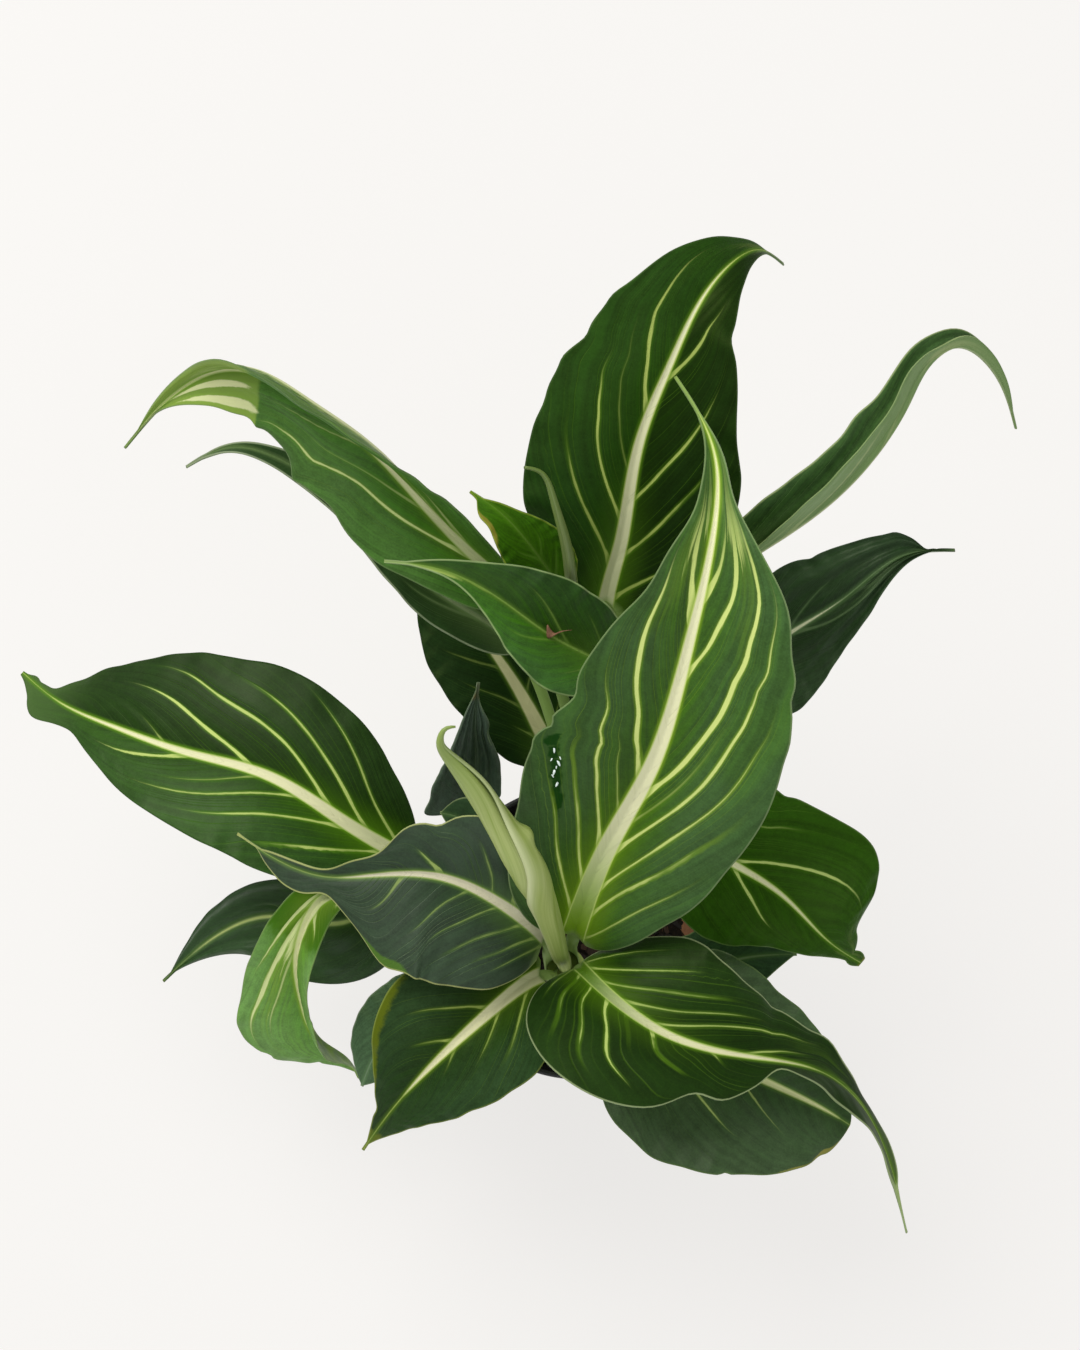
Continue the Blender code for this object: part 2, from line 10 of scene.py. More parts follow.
import bpy
import numpy as np
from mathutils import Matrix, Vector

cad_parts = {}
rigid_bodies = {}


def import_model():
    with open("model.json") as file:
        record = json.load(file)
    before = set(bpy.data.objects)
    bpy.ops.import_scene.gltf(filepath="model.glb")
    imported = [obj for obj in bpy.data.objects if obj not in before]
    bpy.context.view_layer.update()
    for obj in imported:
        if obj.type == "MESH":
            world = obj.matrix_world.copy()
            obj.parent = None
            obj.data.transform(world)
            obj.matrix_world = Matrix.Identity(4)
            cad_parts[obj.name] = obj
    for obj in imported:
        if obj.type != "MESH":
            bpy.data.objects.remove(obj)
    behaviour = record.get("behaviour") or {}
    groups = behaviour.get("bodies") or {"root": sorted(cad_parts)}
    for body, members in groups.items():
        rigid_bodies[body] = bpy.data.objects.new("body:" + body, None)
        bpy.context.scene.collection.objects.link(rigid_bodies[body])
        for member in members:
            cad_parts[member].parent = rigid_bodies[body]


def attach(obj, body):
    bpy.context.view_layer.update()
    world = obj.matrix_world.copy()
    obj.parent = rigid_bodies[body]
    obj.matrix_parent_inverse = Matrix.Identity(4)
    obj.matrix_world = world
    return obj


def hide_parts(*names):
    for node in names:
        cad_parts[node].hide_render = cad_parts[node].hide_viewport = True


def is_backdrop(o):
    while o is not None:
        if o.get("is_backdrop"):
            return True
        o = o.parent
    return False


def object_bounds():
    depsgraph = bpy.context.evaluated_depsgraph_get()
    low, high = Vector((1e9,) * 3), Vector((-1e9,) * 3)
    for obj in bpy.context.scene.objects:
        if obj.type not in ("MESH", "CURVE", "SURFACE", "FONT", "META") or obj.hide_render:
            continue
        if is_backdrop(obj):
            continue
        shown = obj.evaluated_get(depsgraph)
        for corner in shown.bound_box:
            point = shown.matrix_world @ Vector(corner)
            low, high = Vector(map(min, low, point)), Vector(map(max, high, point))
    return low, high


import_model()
cad_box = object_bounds()

# Camera, floor and light
# A 70 mm lens looks down at 78 degrees from 1.5 m, as a photographer on a step would. The floor is plain
# matt paper, and the light is one wide soft cloth overhead and a weaker one in front, with a pale room
# round them.
MM = 0.001
CAMERA_PLACE = (-0.02027, -0.15017, 1.45803)
CAMERA_TILT = 12.0
CAMERA_LENS = 70.0
CAMERA_REACH = 20.0
FLOOR_HALF = 6000.0
FLOOR_LINES = 13
PLANT_MIDDLE = (0.0, 0.03, 0.25)


def linear(hex_color):
    """Linear colour of an sRGB hex value: (c + 0.055) / 1.055 to the power 2.4, or c / 12.92 where dark."""
    channels = [int(hex_color[i:i + 2], 16) / 255 for i in (1, 3, 5)]
    return [c / 12.92 if c <= 0.04045 else ((c + 0.055) / 1.055)**2.4 for c in channels] + [1.0]


def add_node(tree, kind, settings=None, inputs=None, output=0):
    """Adds one shader node, sets it, links its inputs, and returns the socket that comes out of it."""
    node = tree.nodes.new("ShaderNode" + kind)
    for key, value in (settings or {}).items():
        setattr(node, key, value)
    for key, value in (inputs or {}).items():
        if isinstance(value, bpy.types.NodeSocket):
            tree.links.new(value, node.inputs[key])
        else:
            node.inputs[key].default_value = value
    return node.outputs[output]


def new_material(name):
    """An empty material: its node tree and its Principled shader."""
    material = bpy.data.materials.new(name)
    material.use_nodes = True
    return material, material.node_tree, material.node_tree.nodes["Principled BSDF"]


def grid_faces(rows, columns, wrap):
    """Four-sided faces between neighbours in a grid; wrap joins its last column to its first."""
    row = np.arange(rows - 1)[:, None] * columns
    column = np.arange(columns if wrap else columns - 1)[None, :]
    beside = (column + 1) % columns
    corners = [row + column, row + beside, row + columns + beside, row + columns + column]
    corners = [np.broadcast_to(corner, (rows - 1, column.size)) for corner in corners]
    return np.stack(corners, -1).reshape(-1, 4).tolist()


def add_mesh(name, points, faces, material):
    """A smooth mesh object from points in millimetres, at the origin, unturned."""
    mesh = bpy.data.meshes.new(name)
    mesh.from_pydata((np.asarray(points).reshape(-1, 3) * MM).tolist(), [], faces)
    mesh.shade_smooth()
    mesh.materials.append(material)
    piece = bpy.data.objects.new(name, mesh)
    bpy.context.scene.collection.objects.link(piece)
    return piece


camera = bpy.data.objects.new("camera", bpy.data.cameras.new("camera"))
camera.data.lens = CAMERA_LENS
camera.data.clip_end = CAMERA_REACH
camera.location = CAMERA_PLACE
camera.rotation_euler = (math.radians(CAMERA_TILT), 0.0, 0.0)
bpy.context.scene.collection.objects.link(camera)
bpy.context.scene.camera = camera

# Matt background paper: pale and even, without gloss. Its own faint glow keeps the shadows on it soft.
paper, tree, shader = new_material("matt_background_paper")
shader.inputs["Emission Color"].default_value = linear("#e3e1df")
shader.inputs["Base Color"].default_value = linear("#82817f")
shader.inputs["Emission Strength"].default_value = 0.95
shader.inputs["Roughness"].default_value = 0.95
shader.inputs["Specular IOR Level"].default_value = 0.1
spread = np.linspace(-FLOOR_HALF, FLOOR_HALF, FLOOR_LINES)
ground_x, ground_y = np.meshgrid(spread, spread, indexing="xy")
floor = add_mesh("floor", np.stack([ground_x, ground_y, 0 * ground_x], -1),
                 grid_faces(FLOOR_LINES, FLOOR_LINES, False), paper)
floor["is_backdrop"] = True

# Each lamp: its name, place and size in metres, power in watts and tint
LAMPS = (("overhead_cloth", (-0.8, 1.0, 2.3), 1.7, 40.0, "#fffefa"),
         ("window_side", (0.5, -1.9, 1.7), 1.6, 8.0, "#f6faff"))
for name, place, size, power, tint in LAMPS:
    lamp = bpy.data.lights.new(name, "AREA")
    lamp.shape = "DISK"
    lamp.size = size
    lamp.energy = power
    lamp.color = linear(tint)[:3]
    light = bpy.data.objects.new(name, lamp)
    light.location = place
    direction = np.array(PLANT_MIDDLE) - np.array(place)
    turn = math.atan2(direction[1], direction[0]) - math.pi / 2
    light.rotation_euler = (math.acos(-direction[2] / np.linalg.norm(direction)), 0.0, turn)
    bpy.context.scene.collection.objects.link(light)

world = bpy.data.worlds.new("pale_room")
world.use_nodes = True
world.node_tree.nodes["Background"].inputs["Color"].default_value = linear("#fbfcfd")
world.node_tree.nodes["Background"].inputs["Strength"].default_value = 0.42
bpy.context.scene.world = world
bpy.context.scene.view_settings.view_transform = "Standard"


# Pot
# A nursery pot of black polypropylene, injection-moulded: tapered wall, stepped band under a rolled rim,
# flat foot with six drain holes. The plant was grown in it.
POT_HEIGHT = 130.0
POT_RIM_RADIUS = 75.0
POT_FOOT_RADIUS = 54.0
POT_WALL = 1.6
POT_FLOOR = 2.4
POT_BAND_HEIGHT = 17.0
POT_BAND_STEP = 2.2
POT_CORNER = 1.5
POT_ROLL_RADIUS = 1.5
POT_SIDES = 180
DRAIN_HOLES = 6
DRAIN_HOLE_SIDES = 32
DRAIN_HOLE_RADIUS = 5.0
DRAIN_RING_RADIUS = 36.0


def wall_radius(height):
    """Outer radius of the tapered wall: a straight line from the foot to just under the rim."""
    return POT_FOOT_RADIUS + (POT_RIM_RADIUS - POT_BAND_STEP - POT_FOOT_RADIUS) * height / POT_HEIGHT


def turned(profile, sides):
    """Points and faces of a profile of (radius, height) carried round Z; both ends lie near the axis."""
    profile = np.asarray(profile, float)
    angle = np.linspace(0.0, 2 * math.pi, sides, endpoint=False)
    radius, height = profile[:, :1], profile[:, 1:]
    points = np.stack([radius * np.cos(angle), radius * np.sin(angle), height + 0 * angle], -1)
    faces = grid_faces(len(profile), sides, True)
    faces += [list(range(sides))[::-1], list(range((len(profile) - 1) * sides, len(profile) * sides))]
    return points, faces


# Moulded polypropylene: near black and half matt, with a fine grain, duller and browner where dust clings
# Sockets by number: 0 is a Mix node's share, 2 and 3 are its two numbers and 6 and 7 its two colours, and
# its colour comes out at 2. A MapRange node carries the range 1 to 2 over to 3 to 4, which is 0 to 1 if
# unset.
SMOOTH = {"interpolation_type": "SMOOTHSTEP"}
COLOR = {"data_type": "RGBA"}
DUST_PATCH = 11.11
MOULD_GRAIN = 1.111
pot_plastic, tree, shader = new_material("black_moulded_polypropylene")
place = add_node(tree, "TexCoord", output="Object")
dust = add_node(tree, "TexNoise", inputs={"Vector": place, "Scale": 1 / (DUST_PATCH * MM), "Detail": 6.0,
                                          "Roughness": 0.7})
dusty = add_node(tree, "MapRange", SMOOTH, {"Value": dust, 1: 0.52, 2: 0.75})
color = add_node(tree, "Mix", COLOR, {0: dusty, 6: linear("#141415"), 7: linear("#2e2b28")}, 2)
tree.links.new(color, shader.inputs["Base Color"])
rough = add_node(tree, "MapRange", inputs={"Value": dust, 1: 0.3, 2: 0.75, 3: 0.34, 4: 0.62})
tree.links.new(rough, shader.inputs["Roughness"])
grain = add_node(tree, "TexNoise", inputs={"Vector": place, "Scale": 1 / (MOULD_GRAIN * MM), "Detail": 2.0})
bump = add_node(tree, "Bump", inputs={"Strength": 0.12, "Distance": 0.0003, "Height": grain})
tree.links.new(bump, shader.inputs["Normal"])
shader.inputs["IOR"].default_value = 1.49

band_foot = POT_HEIGHT - POT_BAND_HEIGHT
inner_foot = POT_FOOT_RADIUS - POT_WALL
roll = np.linspace(-0.5 * math.pi, 1.25 * math.pi, 15)[3:]
roll_middle = np.array([POT_RIM_RADIUS, POT_HEIGHT]) - POT_ROLL_RADIUS
rim_roll = roll_middle + POT_ROLL_RADIUS * np.stack([np.cos(roll), np.sin(roll)], -1)
pot_profile = [
    (0.1, 0.0), (26.0, 0.0), (POT_FOOT_RADIUS - POT_CORNER, 0.0), (POT_FOOT_RADIUS - 0.5, 0.45),
    (wall_radius(POT_CORNER), POT_CORNER), (wall_radius(14.0), 14.0), (wall_radius(60.0), 60.0),
    (wall_radius(band_foot - 0.5), band_foot - 0.5), (wall_radius(band_foot) + 0.2, band_foot),
    (POT_RIM_RADIUS - 1.3, band_foot + 0.35), (POT_RIM_RADIUS - 0.9, band_foot + 0.9),
    (POT_RIM_RADIUS - 0.25, POT_HEIGHT - 3.4), *rim_roll,
    (POT_RIM_RADIUS - POT_BAND_STEP - POT_WALL, POT_HEIGHT - 4.2),
    (wall_radius(band_foot) - POT_WALL, band_foot), (inner_foot + 0.4, POT_FLOOR + 2.4),
    (inner_foot - 0.3, POT_FLOOR + 0.6), (inner_foot - 1.2, POT_FLOOR), (26.0, POT_FLOOR), (0.1, POT_FLOOR)]
pot = add_mesh("pot_moulded", *turned(pot_profile, POT_SIDES), pot_plastic)

# The drain holes are punched through the foot
for k in range(DRAIN_HOLES):
    angle = 2 * math.pi * (k + 0.5) / DRAIN_HOLES
    tube, tube_faces = turned([(DRAIN_HOLE_RADIUS, -2.0), (DRAIN_HOLE_RADIUS, POT_FLOOR + 2.0)],
                              DRAIN_HOLE_SIDES)
    tube_place = np.array([DRAIN_RING_RADIUS * math.cos(angle), DRAIN_RING_RADIUS * math.sin(angle), 0.0])
    punch = add_mesh("punch", tube + tube_place, tube_faces, pot_plastic)
    hole = pot.modifiers.new("hole", "BOOLEAN")
    hole.object = punch
    hole.solver = "EXACT"
finished = bpy.data.meshes.new_from_object(pot.evaluated_get(bpy.context.evaluated_depsgraph_get()))
pot.modifiers.clear()
pot.data = finished
pot.data.shade_smooth()
pot.data.set_sharp_from_angle(angle=math.radians(50))
for punch in [thing for thing in bpy.data.objects if thing.name.startswith("punch")]:
    bpy.data.objects.remove(punch, do_unlink=True)
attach(pot, "root")
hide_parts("pot")


# Soil
# Peat-based potting mix, almost black where it is damp: a lumpy crust with chips of bark and threads of
# coir pressed into it. It fills the pot to 15 mm under the rim.
SOIL_TOP = 115.0
SOIL_CROWN = 3.0
SOIL_RADIUS = 68.2
SOIL_FOOT_RADIUS = 51.0
SOIL_FOOT = 3.0
SOIL_SIDES = 300
BARK_CHIPS = 420
COIR_THREADS = 90
COIR_HALF_WIDTH = 0.16
COIR_POINTS = 9
COIR_SIDES = 4
draw = np.random.default_rng(11)


def lumps(x, y, count, shortest, longest, seed):
    """Ground relief of about -1 to 1: 2.5 times the mean of seeded sine waves that run in all directions,
    in which each wave weighs as much as it is long."""
    waves = np.random.default_rng(seed)
    length = np.exp(waves.uniform(math.log(shortest), math.log(longest), count))
    heading = waves.uniform(0, 2 * math.pi, count)
    shift = waves.uniform(0, 2 * math.pi, count)
    run = x[..., None] * np.cos(heading) + y[..., None] * np.sin(heading)
    weight = length / length.sum()
    return (np.sin(2 * math.pi * run / length + shift) * weight).sum(-1) * 2.5


def soil_height(x, y):
    """Height of the soil's crust: a low crown, lumps of 6 to 30 mm and crumbs of 2 to 5 mm."""
    crown = SOIL_CROWN * (1 - np.hypot(x, y) / SOIL_RADIUS)
    return SOIL_TOP + crown + 2.0 * lumps(x, y, 40, 6.0, 30.0, 3) + 0.9 * lumps(x, y, 60, 2.0, 5.0, 4) - 1.0


# Damp peat: almost black and dull, with crumbs that are lighter brown where they dry
PEAT_CRUMB = 2.381
soil_peat, tree, shader = new_material("damp_peat_potting_mix")
place = add_node(tree, "TexCoord", output="Object")
crumbs = add_node(tree, "TexNoise", inputs={"Vector": place, "Scale": 1 / (PEAT_CRUMB * MM), "Detail": 8.0,
                                            "Roughness": 0.75})
tone = add_node(tree, "MapRange", inputs={"Value": crumbs, 1: 0.35, 2: 0.72})
color = add_node(tree, "Mix", COLOR, {0: tone, 6: linear("#0b0806"), 7: linear("#2c2118")}, 2)
tree.links.new(color, shader.inputs["Base Color"])
bump = add_node(tree, "Bump", inputs={"Strength": 0.9, "Distance": 0.0012, "Height": crumbs})
tree.links.new(bump, shader.inputs["Normal"])
shader.inputs["Roughness"].default_value = 0.92
shader.inputs["Specular IOR Level"].default_value = 0.25

angle = np.linspace(0.0, 2 * math.pi, SOIL_SIDES, endpoint=False)
crust_radius = np.linspace(0.4, SOIL_RADIUS, 84)[:, None]
x = crust_radius * np.cos(angle)
y = crust_radius * np.sin(angle)
crust = np.stack([x, y, soil_height(x, y)], -1)
side_share = np.linspace(0.12, 1.0, 10)[:, None]
side_radius = SOIL_RADIUS + (SOIL_FOOT_RADIUS - SOIL_RADIUS) * side_share
side_height = (SOIL_TOP - 3.0) * (1 - side_share) + SOIL_FOOT * side_share + 0 * angle
side = np.stack([side_radius * np.cos(angle), side_radius * np.sin(angle), side_height], -1)
under = np.stack([0.4 * np.cos(angle), 0.4 * np.sin(angle), SOIL_FOOT + 0 * angle], -1)[None]
soil_points = np.concatenate([crust, side, under])
soil_rows = len(soil_points)
soil_faces = [face[::-1] for face in grid_faces(soil_rows, SOIL_SIDES, True)]
last_ring = range((soil_rows - 1) * SOIL_SIDES, soil_rows * SOIL_SIDES)
soil_faces += [list(range(SOIL_SIDES)), list(last_ring)[::-1]]
soil = add_mesh("soil_crust", soil_points, soil_faces, soil_peat)
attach(soil, "root")
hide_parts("soil")

# Bark chips: flat splinters with torn ends. Composted bark is dull, and each chip has its own brown, from
# tan to nearly black, with a fine grain.
BARK_GRAIN = 1.667
bark, tree, shader = new_material("composted_pine_bark")
kind = add_node(tree, "Attribute", {"attribute_name": "chip"}, output="Fac")
shade = add_node(tree, "ValToRGB", inputs={"Fac": kind})
ramp = shade.node.color_ramp
ramp.elements[0].color = linear("#140d09")
ramp.elements[1].color = linear("#a06a49")
for spot, tint in ((0.55, "#2b1a10"), (0.85, "#4a2f1d")):
    ramp.elements.new(spot).color = linear(tint)
place = add_node(tree, "TexCoord", output="Object")
grain = add_node(tree, "TexNoise", inputs={"Vector": place, "Scale": 1 / (BARK_GRAIN * MM), "Detail": 4.0})
color = add_node(tree, "Mix", {**COLOR, "blend_type": "MULTIPLY"}, {0: 0.6, 6: shade, 7: grain}, 2)
tree.links.new(color, shader.inputs["Base Color"])
bump = add_node(tree, "Bump", inputs={"Strength": 0.6, "Distance": 0.0005, "Height": grain})
tree.links.new(bump, shader.inputs["Normal"])
shader.inputs["Roughness"].default_value = 0.85

reach = SOIL_RADIUS * 0.97 * np.sqrt(draw.uniform(0, 1, BARK_CHIPS))
turn = draw.uniform(0, 2 * math.pi, BARK_CHIPS)
middle = np.stack([reach * np.cos(turn), reach * np.sin(turn)], -1)
chip_size = np.stack([draw.uniform(1.5, 6.0, BARK_CHIPS), draw.uniform(0.8, 2.4, BARK_CHIPS),
                      draw.uniform(0.3, 0.8, BARK_CHIPS)], -1)
tone = draw.uniform(0, 0.95, BARK_CHIPS)
# One broad tan chip lies on top beside the front leaves
middle[0] = (56.0, 2.0)
chip_size[0] = (7.5, 3.6, 1.4)
tone[0] = 1.0
CHIP_OUTLINE = ((-1, -1), (0.2, -1.2), (1, -0.5), (0.9, 0.8), (-0.1, 1), (-1.1, 0.6))
corner = np.array([[x, y, z] for z in (-1, 1) for x, y in CHIP_OUTLINE], float)
shape = corner[None] * chip_size[:, None] * draw.uniform(0.7, 1.15, (BARK_CHIPS, 12, 1))
heading = draw.uniform(0, 2 * math.pi, BARK_CHIPS)[:, None]
lean = draw.normal(0, 0.28, (BARK_CHIPS, 2))
chip_x = shape[..., 0] * np.cos(heading) - shape[..., 1] * np.sin(heading)
chip_y = shape[..., 0] * np.sin(heading) + shape[..., 1] * np.cos(heading)
rest = soil_height(middle[:, 0], middle[:, 1])
chip_z = shape[..., 2] + chip_x * lean[:, :1] + chip_y * lean[:, 1:] + rest[:, None]
chip_z = chip_z + chip_size[:, 2:] * 0.6
chips = np.stack([chip_x + middle[:, :1], chip_y + middle[:, 1:], chip_z], -1)
one_chip = [[0, 5, 4, 3, 2, 1], [6, 7, 8, 9, 10, 11]]
one_chip += [[k, (k + 1) % 6, (k + 1) % 6 + 6, k + 6] for k in range(6)]
chip_faces = [[v + 12 * n for v in face] for n in range(BARK_CHIPS) for face in one_chip]
bark_chips = add_mesh("bark_chips", chips, chip_faces, bark)
bark_chips.data.set_sharp_from_angle(angle=math.radians(30))
bark_chips.data.attributes.new("chip", "FLOAT", "POINT").data.foreach_set("value", np.repeat(tone, 12))
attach(bark_chips, "root")


def tube_rings(line, radius, sides):
    """Rings of points round many lines at once: (n, k, 3) lines and (n, k) radii give (n, k, sides, 3)."""
    tangent = np.gradient(line, axis=1)
    tangent /= np.linalg.norm(tangent, axis=-1, keepdims=True)
    across = np.cross(tangent, np.array([0.0, 0.0, 1.0]))
    across /= np.linalg.norm(across, axis=-1, keepdims=True) + 1e-9
    other = np.cross(tangent, across)
    angle = np.linspace(0, 2 * math.pi, sides, endpoint=False)
    around = across[..., None, :] * np.cos(angle)[:, None] + other[..., None, :] * np.sin(angle)[:, None]
    return line[..., None, :] + around * radius[..., None, None]


# Coir threads lie loose on the crust. They are dull and fibrous, and their brown changes along each thread.
COIR_STAIN = 6.667
coir, tree, shader = new_material("coir_thread")
place = add_node(tree, "TexCoord", output="Object")
spots = add_node(tree, "TexNoise", inputs={"Vector": place, "Scale": 1 / (COIR_STAIN * MM)})
color = add_node(tree, "Mix", COLOR, {0: spots, 6: linear("#2a1b10"), 7: linear("#6b4a2c")}, 2)
tree.links.new(color, shader.inputs["Base Color"])
shader.inputs["Roughness"].default_value = 0.8
run = np.linspace(-1, 1, COIR_POINTS)
reach = SOIL_RADIUS * 0.9 * np.sqrt(draw.uniform(0, 1, COIR_THREADS))
turn = draw.uniform(0, 2 * math.pi, COIR_THREADS)
heading = draw.uniform(0, 2 * math.pi, COIR_THREADS)[:, None]
heading = heading + draw.normal(0, 0.7, COIR_THREADS)[:, None] * run
half = draw.uniform(3, 9, COIR_THREADS)[:, None]
thread_x = (reach * np.cos(turn))[:, None] + half * np.cumsum(np.cos(heading), 1) / 4.5
thread_y = (reach * np.sin(turn))[:, None] + half * np.cumsum(np.sin(heading), 1) / 4.5
inside = np.minimum(1.0, (SOIL_RADIUS - 2.0) / np.hypot(thread_x, thread_y))
thread_x, thread_y = thread_x * inside, thread_y * inside
threads = np.stack([thread_x, thread_y, soil_height(thread_x, thread_y) + 0.5], -1)
thin_ends = np.sin(np.linspace(0.3, math.pi - 0.3, COIR_POINTS))
rings = tube_rings(threads, COIR_HALF_WIDTH * thin_ends + 0 * thread_x, COIR_SIDES)
one_thread = grid_faces(COIR_POINTS, COIR_SIDES, True) + [[3, 2, 1, 0], [32, 33, 34, 35]]
thread_corners = COIR_POINTS * COIR_SIDES
thread_faces = [[v + thread_corners * n for v in face] for n in range(COIR_THREADS) for face in one_thread]
coir_threads = add_mesh("coir_threads", rings, thread_faces, coir)
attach(coir_threads, "root")


# Canes
# Three fleshy green stems, ringed by the scars of old leaves, stand in plain holes in the soil. The skin is
# smooth and waxy, corky brown at the scars and towards the soil.
CANE_DEPTH = 29.7
SCAR_SPACING = 14.0
CANE_ROWS = 90
CANE_SIDES = 40
# Each cane: its foot on the soil, its top, and its radius
CANES = {"cane_front": ((-8, -22, 115), (-8, -24, 180), 10.0),
         "cane_back": ((8, 32, 115), (6, 62, 212), 10.0),
         "cane_left": ((-36, 0, 115), (-44, 5, 165), 9.0)}

# Waxy cane skin: half glossy, streaked green along the stem, with cork flecks, brown scars and a pale
# crown.
# The crown's pale green is partly young skin and partly painted light that lifts the deep shade there
CORK_FLECK = 6.25
CANE_STREAK = 3.333
cane_skin, tree, shader = new_material("waxy_dieffenbachia_cane")
scar = add_node(tree, "Attribute", {"attribute_name": "scar"}, output="Fac")
place = add_node(tree, "TexCoord", output="Object")
flecks = add_node(tree, "TexNoise", inputs={"Vector": place, "Scale": 1 / (CORK_FLECK * MM), "Detail": 5.0,
                                            "Roughness": 0.65})
streaks = add_node(tree, "Mapping", inputs={"Vector": place, "Scale": (1.0, 1.0, 0.15)})
stripe = add_node(tree, "TexNoise", inputs={"Vector": streaks, "Scale": 1 / (CANE_STREAK * MM),
                                            "Detail": 3.0})
green = add_node(tree, "Mix", COLOR, {0: stripe, 6: linear("#3c5a26"), 7: linear("#6d8a43")}, 2)
spots = add_node(tree, "MapRange", SMOOTH, {"Value": flecks, 1: 0.55, 2: 0.7, 4: 0.5})
brown = add_node(tree, "Math", {"operation": "ADD", "use_clamp": True}, {0: spots, 1: scar})
color = add_node(tree, "Mix", COLOR, {0: brown, 6: green, 7: linear("#6b5334")}, 2)
crown = add_node(tree, "Attribute", {"attribute_name": "crown"}, output="Fac")
color = add_node(tree, "Mix", COLOR, {0: crown, 6: color, 7: linear("#a3b45c")}, 2)
tree.links.new(color, shader.inputs["Base Color"])
bump = add_node(tree, "Bump", inputs={"Strength": 0.35, "Distance": 0.0006, "Height": stripe})
tree.links.new(bump, shader.inputs["Normal"])
shader.inputs["Roughness"].default_value = 0.48

for number, (name, (foot, top, radius)) in enumerate(CANES.items()):
    foot, top = np.array(foot, float), np.array(top, float)
    axis = (top - foot) / np.linalg.norm(top - foot)
    length = np.linalg.norm(top - foot) + CANE_DEPTH
    up = np.linspace(0, length, CANE_ROWS)
    scar_phase = (up - CANE_DEPTH - 8.0) / SCAR_SPACING
    ring = np.exp(-((scar_phase - np.round(scar_phase)) * SCAR_SPACING / 1.1)**2)
    waist = 0.955 - 0.02 * np.cos(2 * math.pi * scar_phase)
    girth = radius * np.minimum(1.0, waist + 0.045 * ring)
    angle = np.linspace(0, 2 * math.pi, CANE_SIDES, endpoint=False)
    east = np.cross(axis, [0.0, 1.0, 0.0])
    east /= np.linalg.norm(east)
    north = np.cross(axis, east)
    arms = east * np.cos(angle)[:, None] + north * np.sin(angle)[:, None]
    wobble = 1 + 0.012 * np.sin(3 * angle + number) * np.sin(up / 9 + number)[:, None]
    base = foot - axis * CANE_DEPTH
    cane_points = base + axis * up[:, None, None] + arms * (girth[:, None] * wobble)[..., None]
    cane_points[-1, :, 2] = top[2]
    dome = cane_points[-1:] * 0.3 + top * 0.7
    cane_points = np.concatenate([cane_points, dome])
    cane_faces = [face[::-1] for face in grid_faces(CANE_ROWS + 1, CANE_SIDES, True)]
    cane_faces += [list(range(CANE_SIDES)),
                   list(range(CANE_ROWS * CANE_SIDES, (CANE_ROWS + 1) * CANE_SIDES))[::-1]]
    cane = add_mesh(name + "_ringed", cane_points, cane_faces, cane_skin)
    low = np.clip(1 - (up - CANE_DEPTH) / 25, 0, 1) * 0.5
    corky = np.append(np.clip(ring * 0.9 + low, 0, 1), 0.3)
    # The crown: young skin, painted paler as painted light against the deep shade among the leaf bases
    young = np.append(np.clip((up - length + 16) / 10, 0, 1), 1.0)
    for word, values in (("scar", corky), ("crown", young)):
        column = cane.data.attributes.new(word, "FLOAT", "POINT").data
        column.foreach_set("value", np.repeat(values, CANE_SIDES))
    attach(cane, "root")
    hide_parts(name)


# Leaves
# Each leaf is one living piece: a grooved petiole that sheathes the crown at its foot, and a thin blade
# that hangs from its midrib. The upper skin is green with cream veins, and the underside is paler and has
# the midrib's ridge.
# The skin's colour ramps cover the vein starts in VEIN_RANGE. The ripples of a leaf's two halves are
# WAVE_SHIFT of a wave apart. BLOTCH, MOTTLE and CELL_CLUMP are sizes of patterns.
PATH_STEPS = 240
BLADE_THICKNESS = 0.8
RIB_DEPTH = 2.2
TIP_HALF_WIDTH = 0.8
BLADE_ROWS = 120
BLADE_SIDE_COLUMNS = 20
PETIOLE_ROWS = 26
WAVE_SHIFT = 0.37
VEIN_RANGE = (-0.6, 1.0)
PLAIN_VEINS = ((0.1, 0.7, 0.5, 0.5), (0.3, 0.6, 0.4, 0.5))
BLOTCH = 35.7
MOTTLE = 4.762
CELL_CLUMP = 0.909
TIMES = {"operation": "MULTIPLY"}
PLUS = {"operation": "ADD"}
MINUS = {"operation": "SUBTRACT"}


def natural_curve(knots, values, places):
    """Natural cubic curve through values at knots, read at places: between two knots it is their weighted
    mean plus a cubic of each knot's bend, and the bends are the solution that makes slopes meet."""
    knots = np.asarray(knots, float)
    values = np.asarray(values, float)
    gaps = np.diff(knots)
    count = len(knots)
    system = np.eye(count)
    target = np.zeros((count, values.shape[1]))
    for i in range(1, count - 1):
        system[i, i - 1:i + 2] = gaps[i - 1], 2 * (gaps[i - 1] + gaps[i]), gaps[i]
        target[i] = 6 * ((values[i + 1] - values[i]) / gaps[i] - (values[i] - values[i - 1]) / gaps[i - 1])
    bend = np.linalg.solve(system, target)
    i = np.clip(np.searchsorted(knots, places, side="right") - 1, 0, count - 2)
    gap = gaps[i][:, None]
    left = (knots[i + 1] - places)[:, None] / gap
    right = 1 - left
    curve = left * values[i] + right * values[i + 1]
    return curve + ((left**3 - left) * bend[i] + (right**3 - right) * bend[i + 1]) * gap**2 / 6


def along(values, places):
    """A value that changes smoothly along a blade: evenly spaced numbers from its base to its tip."""
    if len(values) == 1:
        return np.full(len(places), float(values[0]))
    return natural_curve(np.linspace(0, 1, len(values)), np.asarray(values, float)[:, None], places)[:, 0]


